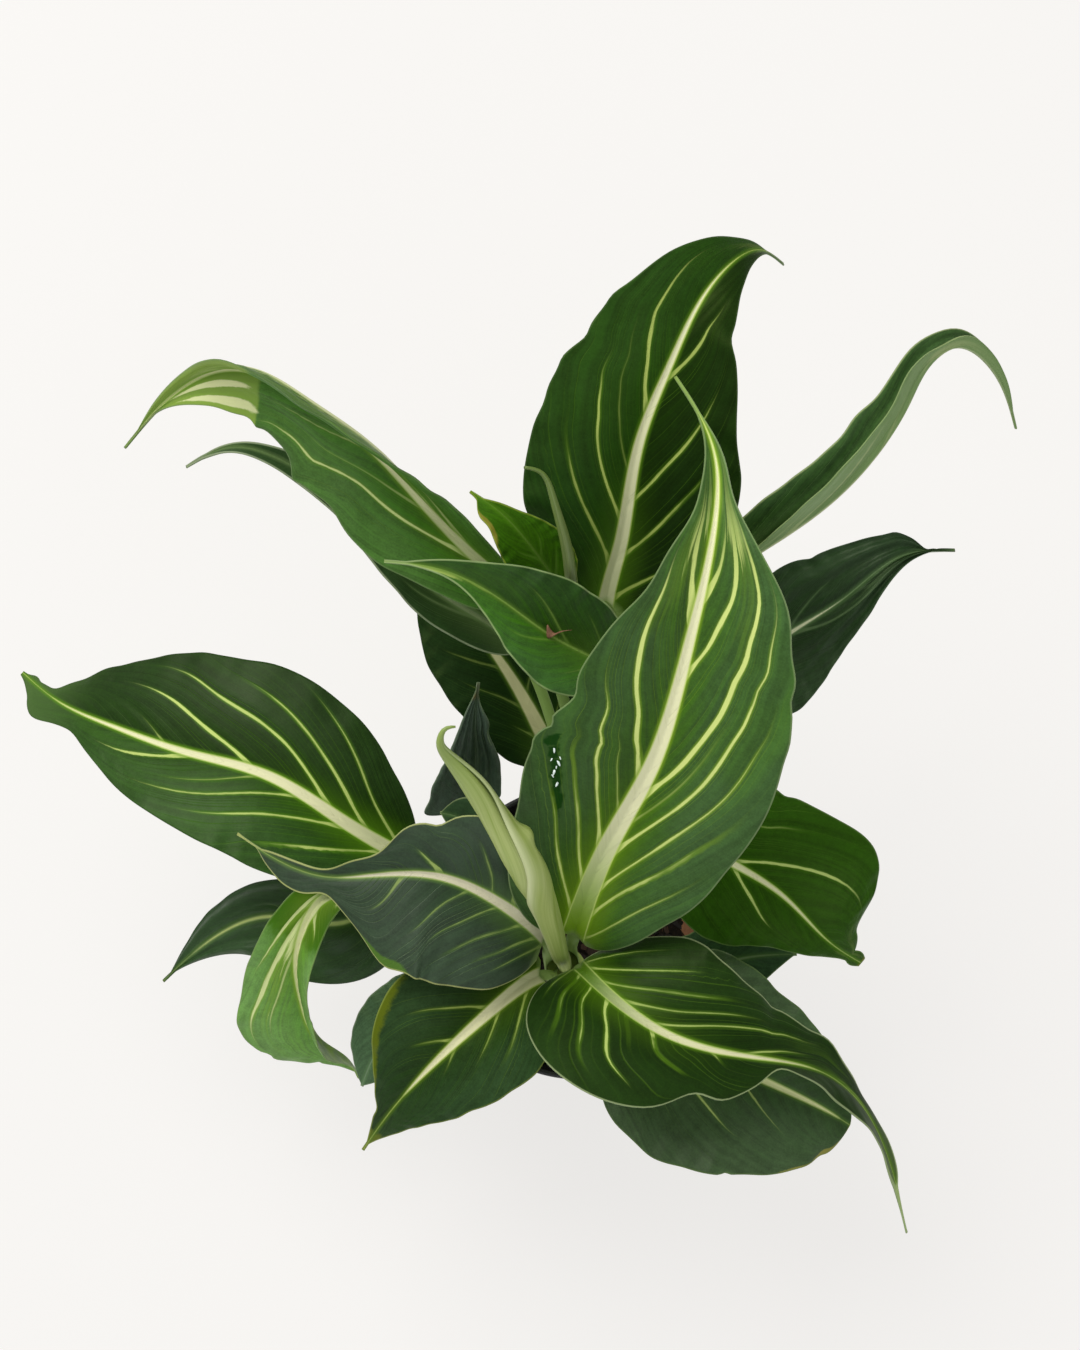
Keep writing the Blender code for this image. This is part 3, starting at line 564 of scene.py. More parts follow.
def stalk_line(petiole, midrib):
    """Smooth line through a leaf's foot, blade base and tip, with frames: the normal is upright at the
    blade's base and is carried along without twist."""
    points = np.array([*petiole, *midrib], float)
    chord = np.concatenate([[0], np.cumsum(np.linalg.norm(np.diff(points, axis=0), axis=1))])
    steps = np.linspace(0, chord[-1], PATH_STEPS)
    line = natural_curve(chord, points, steps)
    length = np.concatenate([[0], np.cumsum(np.linalg.norm(np.diff(line, axis=0), axis=1))])
    base = np.interp(chord[len(petiole)], steps, length)
    tangent = np.gradient(line, length, axis=0)
    tangent /= np.linalg.norm(tangent, axis=1, keepdims=True)
    normal = np.zeros_like(line)
    start = int(np.searchsorted(length, base))
    for walk in (range(start, PATH_STEPS), range(start, -1, -1)):
        carried = np.array([0.0, 0.0, 1.0])
        for i in walk:
            flat = carried - tangent[i] * carried.dot(tangent[i])
            carried = flat / np.linalg.norm(flat)
            normal[i] = carried
    return length, base, line, tangent, normal


def frames_at(path, places):
    """Points, tangents, sides and normals of a stalk line, read at lengths from its foot in a straight line
    between its steps. The side is the leaf's right."""
    length, _, line, tangent, normal = path
    read = [np.stack([np.interp(places, length, part[:, k]) for k in range(3)], -1)
            for part in (line, tangent, normal)]
    point, ahead, up = read
    ahead /= np.linalg.norm(ahead, axis=1, keepdims=True)
    up -= ahead * (ahead * up).sum(1, keepdims=True)
    up /= np.linalg.norm(up, axis=1, keepdims=True)
    return point, ahead, np.cross(ahead, up), up


def fullness(place, widest, tip, tail):
    """Half width as a share of the widest: a quarter ellipse up to the widest place, and from there
    1 - r * r to the power tip, where r is the share of the way to the end of the blade less tail."""
    near = np.sqrt(np.clip(1 - ((widest - place) / widest)**2, 0, 1))
    rest = np.clip((place - widest) / (1 - widest - tail), 0, 1)
    return np.where(place < widest, near, (1 - rest**2)**tip)


def vein_start(place, across, sweep):
    """Where on the midrib the side vein through each point starts. A vein that starts at p is at place p +
    (1 - p) * m * (0.6 u + 0.2 u * u) on its way to the margin, and m grows from 0.45 at the base to nearly
    1.2 at the tip, so that veins lean further forward the higher they start. It is solved by halving."""
    path = (0.6 * across + 0.2 * across**2) * sweep
    low = np.full(path.shape, -0.9)
    high = np.ones(path.shape)
    for _ in range(26):
        middle = (low + high) / 2
        lean = 1.2 - 0.75 * np.exp(-3 * np.clip(middle, 0, 1))
        before = middle + (1 - middle) * lean * path < place
        low = np.where(before, middle, low)
        high = np.where(before, high, middle)
    return low


def vein_ramps(tree, place, veins):
    """Two colour ramps over the veins' starts: a tent that peaks on each vein, and each vein's strength,
    reach and width. Returns both sockets and the tent's half width."""
    low, high = VEIN_RANGE
    starts = [vein[0] for vein in veins]
    half = min([0.035] + [(b - a) / 2 for a, b in zip(starts[:-1], starts[1:])])
    tent = add_node(tree, "ValToRGB", inputs={"Fac": place})
    facts = add_node(tree, "ValToRGB", inputs={"Fac": place})
    facts.node.color_ramp.interpolation = "CONSTANT"
    for ramp in (tent.node.color_ramp, facts.node.color_ramp):
        ramp.elements.remove(ramp.elements[1])
        ramp.elements[0].position = 0.0
        ramp.elements[0].color = (0.0, 0.0, 0.0, 1.0)
    edge = -1.0
    for start, reach, strength, width in veins:
        for spot, tall in ((start - half, 0.0), (start, 1.0), (start + half, 0.0)):
            spot = max(spot, edge + 1e-5)
            tent.node.color_ramp.elements.new((spot - low) / (high - low)).color = (tall, tall, tall, 1.0)
            edge = spot
        from_here = facts.node.color_ramp.elements.new((start - half - low) / (high - low))
        from_here.color = (strength, reach, width, 1.0)
    return tent, facts, half


def leaf_skin(name, inner, outer, vein, cream, margin, under, veins_left, veins_right, tip_tint, tip_from,
              tip_blend, gloss, shine, sheen, fine_veins, glow, tone, patch_tint, rim, root_green, seed):
    """The living skin of one leaf, waxy and softly glossy, built up in coats of colour from the blade's own
    green to the pale line of the margin. Each coat covers a share of what lies under it, and each share is
    a smooth step of a distance in millimetres or of a place on the leaf.

    inner is the green beside the midrib and outer the green towards the margin. tone is painted light and
    shade: it brightens or darkens the left and the right half as the light falls on each of them, glow is
    the yellow green beside the veins, and rim is the strength of the pale margin. From the place tip_from
    the tip turns to tip_tint over the length tip_blend. root_green is how green the midrib is at its foot,
    and sheen is the tint of the gloss.
    """
    material, tree, shader = new_material(name)
    tints = (inner, outer, vein, cream, margin, under, glow, tip_tint, patch_tint, sheen)
    inner, outer, vein, cream, margin, under, glow, tip_tint, patch_tint, sheen = map(linear, tints)
    start, gap, in_rib, to_edge, across, hand, lower, stalk, place, patch = (
        add_node(tree, "Attribute", {"attribute_name": word}, output="Fac")
        for word in ("start", "gap", "rib", "edge", "across", "hand", "lower", "stalk", "place", "patch"))

    # Side veins: far is the distance to the nearest, and inside is how deep a point lies in it, in mm
    spot = add_node(tree, "MapRange", inputs={"Value": start, 1: VEIN_RANGE[0], 2: VEIN_RANGE[1]})
    tent_left, kind_left, half_left = vein_ramps(tree, spot, veins_left)
    tent_right, kind_right, half_right = vein_ramps(tree, spot, veins_right)
    right = add_node(tree, "Math", {"operation": "GREATER_THAN"}, {0: hand, 1: 0.5})
    tent = add_node(tree, "Mix", COLOR, {0: right, 6: tent_left, 7: tent_right}, 2)
    kind = add_node(tree, "Mix", COLOR, {0: right, 6: kind_left, 7: kind_right}, 2)
    strength, reach, width = add_node(tree, "SeparateColor", inputs={0: kind}).node.outputs
    half = add_node(tree, "Mix", inputs={0: right, 2: half_left, 3: half_right})
    far = add_node(tree, "Math", MINUS, {0: 1.0, 1: tent})
    far = add_node(tree, "Math", TIMES, {0: far, 1: half})
    far = add_node(tree, "Math", TIMES, {0: far, 1: gap})
    veinwise = add_node(tree, "CombineXYZ", inputs={0: start, 1: across, 2: seed})
    wander = add_node(tree, "Mapping", inputs={"Vector": veinwise, "Scale": (30.0, 5.0, 1.0)})
    uneven = add_node(tree, "TexNoise", inputs={"Vector": wander, "Scale": 1.0, "Detail": 2.0})
    uneven = add_node(tree, "MapRange", SMOOTH, {"Value": uneven, 1: 0.3, 2: 0.7, 3: 0.55, 4: 1.1})
    thins_from = add_node(tree, "Math", MINUS, {0: reach, 1: 0.45})
    life = add_node(tree, "MapRange", SMOOTH, {"Value": across, 1: thins_from, 2: reach, 3: 1.0, 4: 0.0})
    flare = add_node(tree, "MapRange", SMOOTH, {"Value": in_rib, 1: -4.0, 2: 0.0, 4: 0.8})
    thick = add_node(tree, "Math", PLUS, {0: life, 1: flare})
    thick = add_node(tree, "Math", TIMES, {0: thick, 1: width})
    thick = add_node(tree, "Math", TIMES, {0: thick, 1: uneven})
    inside = add_node(tree, "Math", MINUS, {0: thick, 1: far})

    # A vein's bright line and the soft halo round it, which both fade towards the leaf's tip
    bright = add_node(tree, "MapRange", SMOOTH, {"Value": life, 1: 0.0, 2: 0.5})
    bright = add_node(tree, "Math", TIMES, {0: bright, 1: strength})
    tipward = add_node(tree, "MapRange", SMOOTH, {"Value": place, 1: 0.64, 2: 0.82, 3: 1.0, 4: 0.1})
    bright = add_node(tree, "Math", TIMES, {0: bright, 1: tipward})
    line = add_node(tree, "MapRange", SMOOTH, {"Value": inside, 1: -0.25, 2: 0.25})
    line = add_node(tree, "Math", TIMES, {0: line, 1: bright})
    halo = add_node(tree, "MapRange", SMOOTH, {"Value": inside, 1: -1.3, 2: 0.1})
    halo = add_node(tree, "Math", TIMES, {0: halo, 1: bright})
    tipward = add_node(tree, "MapRange", SMOOTH, {"Value": place, 1: 0.45, 2: 0.7, 3: 1.0, 4: 0.4})
    halo = add_node(tree, "Math", TIMES, {0: halo, 1: tipward})

    # Fine side veins, 2 to 3 mm apart, of which few show
    phase = add_node(tree, "Math", TIMES, {0: start, 1: fine_veins})
    number = add_node(tree, "Math", {"operation": "ROUND"}, {0: phase})
    number = add_node(tree, "CombineXYZ", inputs={0: number, 1: right})
    pick = add_node(tree, "TexWhiteNoise", {"noise_dimensions": "2D"}, {"Vector": number})
    shown = add_node(tree, "MapRange", SMOOTH, {"Value": pick, 1: 0.35, 2: 1.0, 3: 0.12, 4: 1.0})
    thins_from = add_node(tree, "MapRange", SMOOTH, {"Value": pick, 1: 0.3, 2: 1.0, 3: 0.35, 4: 0.8})
    ends = add_node(tree, "MapRange", SMOOTH, {"Value": across, 1: thins_from, 2: 1.0, 3: 1.0, 4: 0.25})
    tipward = add_node(tree, "MapRange", SMOOTH, {"Value": place, 1: 0.5, 2: 0.75, 3: 1.0, 4: 0.35})
    thread = add_node(tree, "Math", {"operation": "PINGPONG"}, {0: phase, 1: 0.5})
    thread = add_node(tree, "MapRange", SMOOTH, {"Value": thread, 1: 0.0, 2: 0.16, 3: 1.0, 4: 0.0})
    for share in (shown, ends, tipward):
        thread = add_node(tree, "Math", TIMES, {0: thread, 1: share})

    # The blade's green: deeper or lighter bands along the veins and soft blotches, and then painted light
    # and shade that make one half of the blade lighter and the other darker
    band_way = add_node(tree, "Mapping", inputs={"Vector": veinwise, "Location": (0.0, 0.0, 5.0),
                                                 "Scale": (26.0, 1.6, 1.0)})
    bands = add_node(tree, "TexNoise", inputs={"Vector": band_way, "Scale": 1.0, "Detail": 2.0})
    where = add_node(tree, "TexCoord", output="Object")
    blotch = add_node(tree, "TexNoise", inputs={"Vector": where, "Scale": 1 / (BLOTCH * MM), "Detail": 3.0})
    mottle = add_node(tree, "TexNoise", inputs={"Vector": where, "Scale": 1 / (MOTTLE * MM), "Detail": 4.0,
                                                "Roughness": 0.7})
    cells = add_node(tree, "TexNoise", inputs={"Vector": where, "Scale": 1 / (CELL_CLUMP * MM),
                                               "Detail": 2.0})
    near = add_node(tree, "MapRange", SMOOTH, {"Value": in_rib, 1: -26.0, 2: 0.0})
    baseward = add_node(tree, "MapRange", SMOOTH, {"Value": place, 1: 0.1, 2: 0.95, 3: 1.0, 4: 0.35})
    near = add_node(tree, "Math", TIMES, {0: near, 1: baseward})
    sway = add_node(tree, "MapRange", SMOOTH, {"Value": bands, 1: 0.3, 2: 0.75, 3: -0.2, 4: 0.2})
    near = add_node(tree, "Math", PLUS, {0: near, 1: sway})
    green = add_node(tree, "Mix", COLOR, {0: near, 6: outer, 7: inner}, 2)
    deep = add_node(tree, "MapRange", SMOOTH, {"Value": blotch, 1: 0.4, 2: 0.75, 4: 0.35})
    green = add_node(tree, "Mix", COLOR, {0: deep, 6: green, 7: inner}, 2)
    level = add_node(tree, "MapRange", SMOOTH, {"Value": bands, 1: 0.25, 2: 0.8, 3: 0.76, 4: 1.26})
    for grain, low, high in ((cells, 0.25, 0.75), (mottle, 0.3, 0.7)):
        speck = add_node(tree, "MapRange", SMOOTH, {"Value": grain, 1: low, 2: high, 3: -0.1, 4: 0.1})
        level = add_node(tree, "Math", PLUS, {0: level, 1: speck})
    # Painted light and shade: each half of the blade is made lighter or darker as the light falls on it
    painted_half_shade = add_node(tree, "Mix", inputs={0: right, 2: tone[0], 3: tone[1]})
    level = add_node(tree, "Math", TIMES, {0: level, 1: painted_half_shade})
    green = add_node(tree, "Mix", {**COLOR, "blend_type": "MULTIPLY"}, {0: 1.0, 6: green, 7: level}, 2)

    # Coats over the green, from the first to the last: a tinted tip, tinted patches with ragged ends, fine
    # veins, the yellow green at the blade's foot, halos, veins, the midrib's green sides, its cream, and
    # the pale margin
    tip_end = min(1.0, tip_from + tip_blend)
    tip = add_node(tree, "MapRange", SMOOTH, {"Value": place, 1: tip_from, 2: tip_end})
    edgeward = add_node(tree, "MapRange", SMOOTH, {"Value": to_edge, 1: 2.0, 2: 6.0, 3: 1.0, 4: 0.8})
    tip = add_node(tree, "Math", TIMES, {0: tip, 1: edgeward})
    ragged = add_node(tree, "MapRange", SMOOTH, {"Value": mottle, 1: 0.3, 2: 0.7, 3: -0.12, 4: 0.12})
    ragged = add_node(tree, "Math", PLUS, {0: patch, 1: ragged})
    ragged = add_node(tree, "MapRange", SMOOTH, {"Value": ragged, 1: 0.25, 2: 0.7})
    in_patch = add_node(tree, "MapRange", SMOOTH, {"Value": patch, 1: 0.02, 2: 0.25})
    ragged = add_node(tree, "Math", TIMES, {0: ragged, 1: in_patch})
    thin_thread = add_node(tree, "Math", TIMES, {0: thread, 1: 0.28})
    foot = add_node(tree, "MapRange", SMOOTH, {"Value": in_rib, 1: -14.0, 2: 0.0})
    footward = add_node(tree, "MapRange", SMOOTH, {"Value": place, 1: 0.0, 2: 0.4, 3: 0.5, 4: 0.0})
    foot = add_node(tree, "Math", TIMES, {0: foot, 1: footward})
    thin_halo = add_node(tree, "Math", TIMES, {0: halo, 1: 0.65})
    rib_side = add_node(tree, "MapRange", SMOOTH, {"Value": in_rib, 1: -2.2, 2: 0.2, 4: 0.85})
    rib_edge = add_node(tree, "MapRange", SMOOTH, {"Value": in_rib, 1: -0.5, 2: 0.1, 4: 0.75})
    rib_top = add_node(tree, "MapRange", SMOOTH, {"Value": in_rib, 1: 0.0, 2: 0.7})
    young = add_node(tree, "MapRange", SMOOTH, {"Value": place, 1: 0.02, 2: 0.3, 3: root_green, 4: 0.0})
    rib_color = add_node(tree, "Mix", COLOR, {0: young, 6: cream, 7: glow}, 2)
    hem = add_node(tree, "MapRange", SMOOTH, {"Value": to_edge, 1: 0.3, 2: 0.9, 3: rim, 4: 0.0})
    coats = ((tip, tip_tint), (ragged, patch_tint), (thin_thread, glow), (foot, glow), (thin_halo, glow),
             (line, vein), (rib_side, glow), (rib_edge, vein), (rib_top, rib_color), (hem, margin))
    top = green
    for share, tint in coats:
        top = add_node(tree, "Mix", COLOR, {0: share, 6: top, 7: tint}, 2)

    # The underside is paler and greyer, its midrib stands out light, and the petiole is streaked green
    pale_band = add_node(tree, "MapRange", SMOOTH, {"Value": bands, 1: 0.3, 2: 0.7, 4: 0.5})
    faint_line = add_node(tree, "Math", TIMES, {0: line, 1: 0.5})
    ridge = add_node(tree, "MapRange", SMOOTH, {"Value": in_rib, 1: -0.4, 2: 0.6, 4: 0.8})
    below = add_node(tree, "Mix", COLOR, {0: pale_band, 6: under, 7: glow}, 2)
    below = add_node(tree, "Mix", COLOR, {0: faint_line, 6: below, 7: vein}, 2)
    below = add_node(tree, "Mix", COLOR, {0: ridge, 6: below, 7: cream}, 2)
    streaks = add_node(tree, "Mix", COLOR, {0: bands, 6: linear("#6f9044"), 7: linear("#a9c076")}, 2)
    color = add_node(tree, "Mix", COLOR, {0: lower, 6: top, 7: below}, 2)
    color = add_node(tree, "Mix", COLOR, {0: stalk, 6: color, 7: streaks}, 2)
    tree.links.new(color, shader.inputs["Base Color"])

    # Veins lie a little deeper than the skin between them
    relief = add_node(tree, "Math", TIMES, {0: cells, 1: 0.12})
    for part, depth in ((thread, 0.5), (halo, 0.8)):
        groove = add_node(tree, "Math", TIMES, {0: part, 1: depth})
        relief = add_node(tree, "Math", MINUS, {0: relief, 1: groove})
    bump = add_node(tree, "Bump", inputs={"Strength": 0.55, "Distance": 0.0005, "Height": relief})
    tree.links.new(bump, shader.inputs["Normal"])
    rough = add_node(tree, "MapRange", SMOOTH, {"Value": blotch, 1: 0.3, 2: 0.7,
                                                3: gloss - 0.05, 4: gloss + 0.07})
    tree.links.new(rough, shader.inputs["Roughness"])
    shader.inputs["Specular IOR Level"].default_value = shine
    shader.inputs["Specular Tint"].default_value = sheen
    return material


def grow_leaf(name, petiole, midrib, left, right, widest=0.38, tip=1.2, tail=0.03, fold=(15,), curl=(-10,),
              roll=(0,), lobe=0.0, wave=(0.0, 3.0, 0.0), fold_left=None, fold_right=None, stalk=(2.8, 2.6),
              bumps=(), patches=(), patch_tint="#6f8f2a", veins_left=PLAIN_VEINS, veins_right=PLAIN_VEINS,
              sweep=(1.0, 1.0), rib=(2.6, 0.85, 0.75), quilt=0.6, flutter=0.8, pleat=(0.0, 2.0),
              wobble=0.002, inner="#2f4f16", outer="#2c4420", vein="#c9d684", cream="#e6e4b8",
              glow="#557a24", margin="#8fa36a", rim=0.5, under="#7c9468", tip_tint="#7a7a2a",
              tip_from=0.985, tip_blend=0.04, gloss=0.42, shine=0.22, sheen="#a9c46c", tone=(1, 1),
              fine_veins=60.0, root_green=0.2, seed=1.0):
    """A leaf in one piece. The blade's halves start at the fold and bend by the curl: at share u of the
    half width w a point lies w * (sin(f + c u) - sin f) / c out and w * (cos f - cos(f + c u)) / c up.

    left and right are half widths, and fold, curl and roll are degrees, all evenly spaced from base to tip.
    lobe pushes the margin back beside the petiole, wave is a ripple's height, count and start, quilt is how
    far the blade swells between veins, flutter is the height of the margin's small waves, and pleat is the
    height and count of long folds. bumps push the margin of one side (-1 left, 1 right) at a place by a
    size over a spread, and patches tint a spot of one side (0 both) at a place and share across, with its
    length, breadth and strength. veins_left and veins_right hold start, reach, strength and half width in
    millimetres, sweep is how far forward the veins of each side lean, and wobble is how far they wander.
    rib is the midrib's half width at the base, the place where its cream ends, the power of its taper, and
    its half width from there on, which is negative where no line shows. The other values are the skin's.
    """
    path = stalk_line(petiole, midrib)
    base = path[1]
    blade_length = path[0][-1] - base

    # Rows of points stand closer at the blade's two ends, and columns closer at the midrib
    steps = np.linspace(0.012, 1, BLADE_ROWS)
    place = (steps + 0.5 - 0.5 * np.cos(math.pi * steps)) / 2
    place[-1] = 1.0
    spread = np.linspace(0, 1, BLADE_SIDE_COLUMNS + 1)[1:]**1.35
    spread = np.append(spread, 0.978)
    spread.sort()
    across = np.concatenate([-spread[::-1], [0.0], spread])[None, :]
    u = np.abs(across)
    hand = np.where(across >= 0, 1.0, -1.0)
    point, ahead, aside, up = (part[:, None, :] for part in frames_at(path, base + blade_length * place))
    s = place[:, None]
    turn = np.radians(along(roll, place))[:, None, None]
    turned_up = up * np.cos(turn) + aside * np.sin(turn)
    turned_aside = aside * np.cos(turn) - up * np.sin(turn)

    def by_hand(of_left, of_right):
        """The value along the right half for points on the right, and along the left half for the rest."""
        return np.where(hand > 0, along(of_right, place)[:, None], along(of_left, place)[:, None])

    # Half width: the leaf's outline, a faint unevenness and the bumps of the margin
    full = fullness(place, widest, tip, tail)[:, None]
    width = np.maximum(by_hand(left, right) * full, TIP_HALF_WIDTH)
    waviness = np.sin(2 * math.pi * (5.3 * s + seed) + hand) * np.clip(s * 8, 0, 1)
    width = width * (1 + 0.01 * waviness)
    for side, spot, size, spread_out in bumps:
        width = width + (hand == side) * size * np.exp(-((s - spot) / spread_out)**2)
    width = np.maximum(width, 0.5)

    # Form across: each half's fold and curl, the ripple, the long folds, the margin's small waves, and the
    # swelling between the veins
    first = np.radians(by_hand(fold_left or fold, fold_right or fold))
    bend = np.radians(along(curl, place))[:, None]
    bend = np.where(np.abs(bend) > 0.001, bend, 0.001)
    out = width * (np.sin(first + bend * u) - np.sin(first)) / bend
    rise = width * (np.cos(first) - np.cos(first + bend * u)) / bend
    ripple = wave[0] * u**2 * np.sin(math.pi * s)
    rise = rise + ripple * np.sin(2 * math.pi * (wave[1] * s + wave[2] + WAVE_SHIFT * (hand > 0)))
    off_rib = np.clip(u * 4, 0, 1)
    rise = rise + pleat[0] * np.sin(2 * math.pi * pleat[1] * u + 0.8 * hand) * np.sin(math.pi * s) * off_rib
    start = np.where(hand > 0, vein_start(s, u, sweep[1]), vein_start(s, u, sweep[0]))
    start = start + wobble * np.sin(2 * math.pi * (2.3 * u + 8 * start + seed)) * off_rib
    settle = np.sin(math.pi * np.clip(s, 0, 1))**0.5 * np.clip(width / 15, 0, 1)
    small_waves = np.sin(2 * math.pi * (7.3 * s + 0.31 * seed) + hand)
    small_waves = small_waves + np.sin(2 * math.pi * (12.7 * s + seed))
    rise = rise + flutter * 0.5 * u**3 * small_waves * settle
    swell = 0.5 * np.abs(np.sin(math.pi * 15 * start + seed))**0.7
    for side, veins in ((-1, veins_left), (1, veins_right)):
        for vein_at, _, strength, _ in veins:
            swell = swell - (hand == side) * 0.7 * strength * np.exp(-((start - vein_at) / 0.018)**2)
    swell = quilt * swell * np.clip(u * 5, 0, 1) * np.clip((1 - u) * 4, 0, 1) * settle

    # Skin: the sheet's middle and half its thickness to either side, grooved over the midrib and ridged
    # under it
    slope = np.where(u == 0, 0.0, first + bend * u)[..., None]
    face = turned_up * np.cos(slope) - turned_aside * hand[..., None] * np.sin(slope)
    push_back = (lobe * np.clip(1 - s / widest, 0, None)**2 * u**2)[..., None]
    sideways = turned_aside * (hand * out)[..., None]
    middle = point + sideways + turned_up * rise[..., None] - ahead * push_back
    taper = rib[2] if len(rib) > 2 else 0.75
    beyond = 0.35 - 0.35 * s if rib[0] >= 1 else -4.0
    beyond = rib[3] if len(rib) > 3 else beyond
    rib_half = np.maximum(rib[0] * np.clip(1 - s / rib[1], 0, 1)**taper, beyond)
    from_rib = u * width
    groove = 0.45 * np.exp(-(from_rib / 2.0)**2) * (1 - s)
    ridge = RIB_DEPTH * (1 - s)**0.7 * np.exp(-(from_rib / (1.0 + rib[0] * 0.6))**2)
    thickness = BLADE_THICKNESS * (1 - 0.35 * u**6)
    upper = middle + face * (thickness / 2 + swell - groove)[..., None]
    lower = middle - face * (thickness / 2 - swell + ridge)[..., None]
    blade = np.concatenate([upper, lower[:, ::-1]], axis=1)

    # The petiole's ring: a half-round channel at the foot that clasps the crown, nearly round above
    share = np.linspace(0, 1, PETIOLE_ROWS)[:-1]
    point, ahead, aside, up = frames_at(path, base * share)
    point[0] -= ahead[0] * 1.5
    columns = across.size
    angle = math.pi * (1 - (np.arange(columns) + 0.5) / columns)
    radius = (stalk[0] + (stalk[1] - stalk[0]) * share)[:, None]
    clasp = np.clip(1 - share / 0.5, 0, 1)[:, None]**2
    channel = 0.3 + 0.7 * clasp + 0.5 * np.clip((share - 0.8) / 0.2, 0, 1)[:, None]
    reach_out = (radius + 3.6 * clasp) * np.cos(angle)
    wrap = 4.0 * clasp * np.cos(angle)**2
    top_side = wrap + radius * np.sin(angle) * (1 - 1.5 * np.minimum(channel, 1.0))
    low_side = wrap - radius * np.sin(angle)
    ring_out = np.concatenate([reach_out, reach_out[:, ::-1]], axis=1)[..., None]
    ring_up = np.concatenate([top_side, low_side[:, ::-1]], axis=1)[..., None]
    petiole_points = point[:, None, :] + aside[:, None, :] * ring_out + up[:, None, :] * ring_up

    points = np.concatenate([petiole_points, blade])
    rows, ring = points.shape[:2]
    faces = grid_faces(rows, ring, True)
    faces += [list(range(ring))[::-1], list(range((rows - 1) * ring, rows * ring))]
    skin = leaf_skin(name + "_skin", inner, outer, vein, cream, margin, under, veins_left, veins_right,
                     tip_tint, tip_from, tip_blend, gloss, shine, sheen, fine_veins, glow, tone, patch_tint,
                     rim, root_green, seed)
    leaf = add_mesh(name + "_veined", points, faces, skin)

    # Facts that the skin's pattern reads, worked out for every point of the blade
    start_by_place = np.gradient(start, place, axis=0)
    start_by_across = np.gradient(start, across[0], axis=1)
    width_by_place = np.gradient(width, place, axis=0)
    slope_along = (start_by_place - start_by_across * across * width_by_place / width) / blade_length
    gap = np.clip(1 / np.hypot(slope_along, start_by_across / width), 5, 600)
    whole = np.ones_like(width)
    patch = 0 * whole
    for side, spot, share_out, long, broad, strength in patches:
        off = ((s - spot) / long)**2 + ((u - share_out) / broad)**2
        patch = np.maximum(patch, (hand * side >= 0) * strength * np.exp(-off**2))
    facts = {"start": start, "gap": gap, "rib": rib_half - from_rib, "edge": width - from_rib,
             "across": u * whole, "patch": patch, "hand": (hand > 0) * whole, "place": s * whole,
             "stalk": np.clip(1 - s / 0.02, 0, 1) * whole}
    facts = {word: np.concatenate([values, values[:, ::-1]], axis=1) for word, values in facts.items()}
    facts["lower"] = np.concatenate([0 * whole, whole], axis=1)
    stalk_facts = {"start": -0.9, "gap": 100.0, "rib": -60.0, "edge": 60.0, "stalk": 1.0}
    for word, values in facts.items():
        on_petiole = np.full(petiole_points.shape[:2], stalk_facts.get(word, 0.0))
        column = np.concatenate([on_petiole, values]).ravel()
        leaf.data.attributes.new(word, "FLOAT", "POINT").data.foreach_set("value", column)
    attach(leaf, "root")
    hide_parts(name)


# Leaves of the front cane
# Six leaves grow from the front cane, four from its crown and two low ones from its side. The tallest
# stands up and crosses the middle of the plant, with a wet run beside its left margin, and the others arch
# down to the front, the left and the right.
grow_leaf("leaf_tallest",
          petiole=[(-5.6, -17.5, 180.3), (-5.5, -16.5, 212)],
          midrib=[(-4.5, -14.5, 240), (9, 17, 290), (30, 52, 338), (43, 94, 376), (52, 134, 398),
                  (54, 164, 398), (38, 210, 380)],
          left=(50, 50, 52, 49, 40, 25, 10), right=(38, 50, 53, 59, 56, 24, 12), widest=0.34, tip=1.5,
          fold=(22, 18, 22, 34), curl=(-10, -15, -10), lobe=4, stalk=(2.8, 3.2),
          bumps=((-1, 0.46, -5.5, 0.035), (-1, 0.4, -3.0, 0.012), (-1, 0.36, 1.5, 0.015),
                 (-1, 0.24, -3.0, 0.05), (-1, 0.65, -4.0, 0.05), (-1, 0.76, -2.5, 0.05),
                 (1, 0.67, 5.0, 0.045), (1, 0.78, -4.0, 0.05), (1, 0.59, 1.2, 0.02),
                 (1, 0.555, -1.2, 0.015), (1, 0.5, 1.0, 0.02)),
          patches=((-1, 0.372, 0.87, 0.016, 0.06, 1.2), (-1, 0.35, 0.82, 0.018, 0.04, 1.2),
                   (-1, 0.33, 0.765, 0.018, 0.04, 1.2), (-1, 0.31, 0.715, 0.018, 0.04, 1.2),
                   (-1, 0.288, 0.67, 0.02, 0.04, 1.2), (-1, 0.265, 0.63, 0.02, 0.04, 1.2),
                   (-1, 0.242, 0.59, 0.02, 0.03, 1.1)), patch_tint="#0d3c05",
          veins_left=((0.02, 0.85, 0.8, 0.55), (0.09, 0.85, 0.85, 0.6), (0.17, 0.85, 0.9, 0.7),
                      (0.25, 0.5, 0.4, 0.4), (0.33, 0.9, 1.0, 1.1), (0.6, 0.75, 1.0, 1.1),
                      (0.75, 0.4, 0.4, 0.5)),
          veins_right=((-0.16, 0.95, 0.5, 0.45), (0.01, 0.95, 0.75, 0.55), (0.08, 0.95, 0.85, 0.6),
                       (0.17, 1.0, 0.95, 0.7), (0.235, 0.6, 0.35, 0.4), (0.3, 0.95, 1.0, 1.2),
                       (0.52, 0.85, 1.0, 1.1), (0.64, 0.5, 0.9, 0.9)),
          sweep=(1.0, 1.2), rib=(5.9, 0.93, 0.85), quilt=0.9, inner="#3b640c", outer="#436434",
          vein="#dbe98a", cream="#eeedc2", glow="#82a822", margin="#9fb47c", rim=0.45, under="#86a06c",
          sheen="#d5e2bc", tone=(0.82, 1.02), root_green=1.0, seed=2.0)
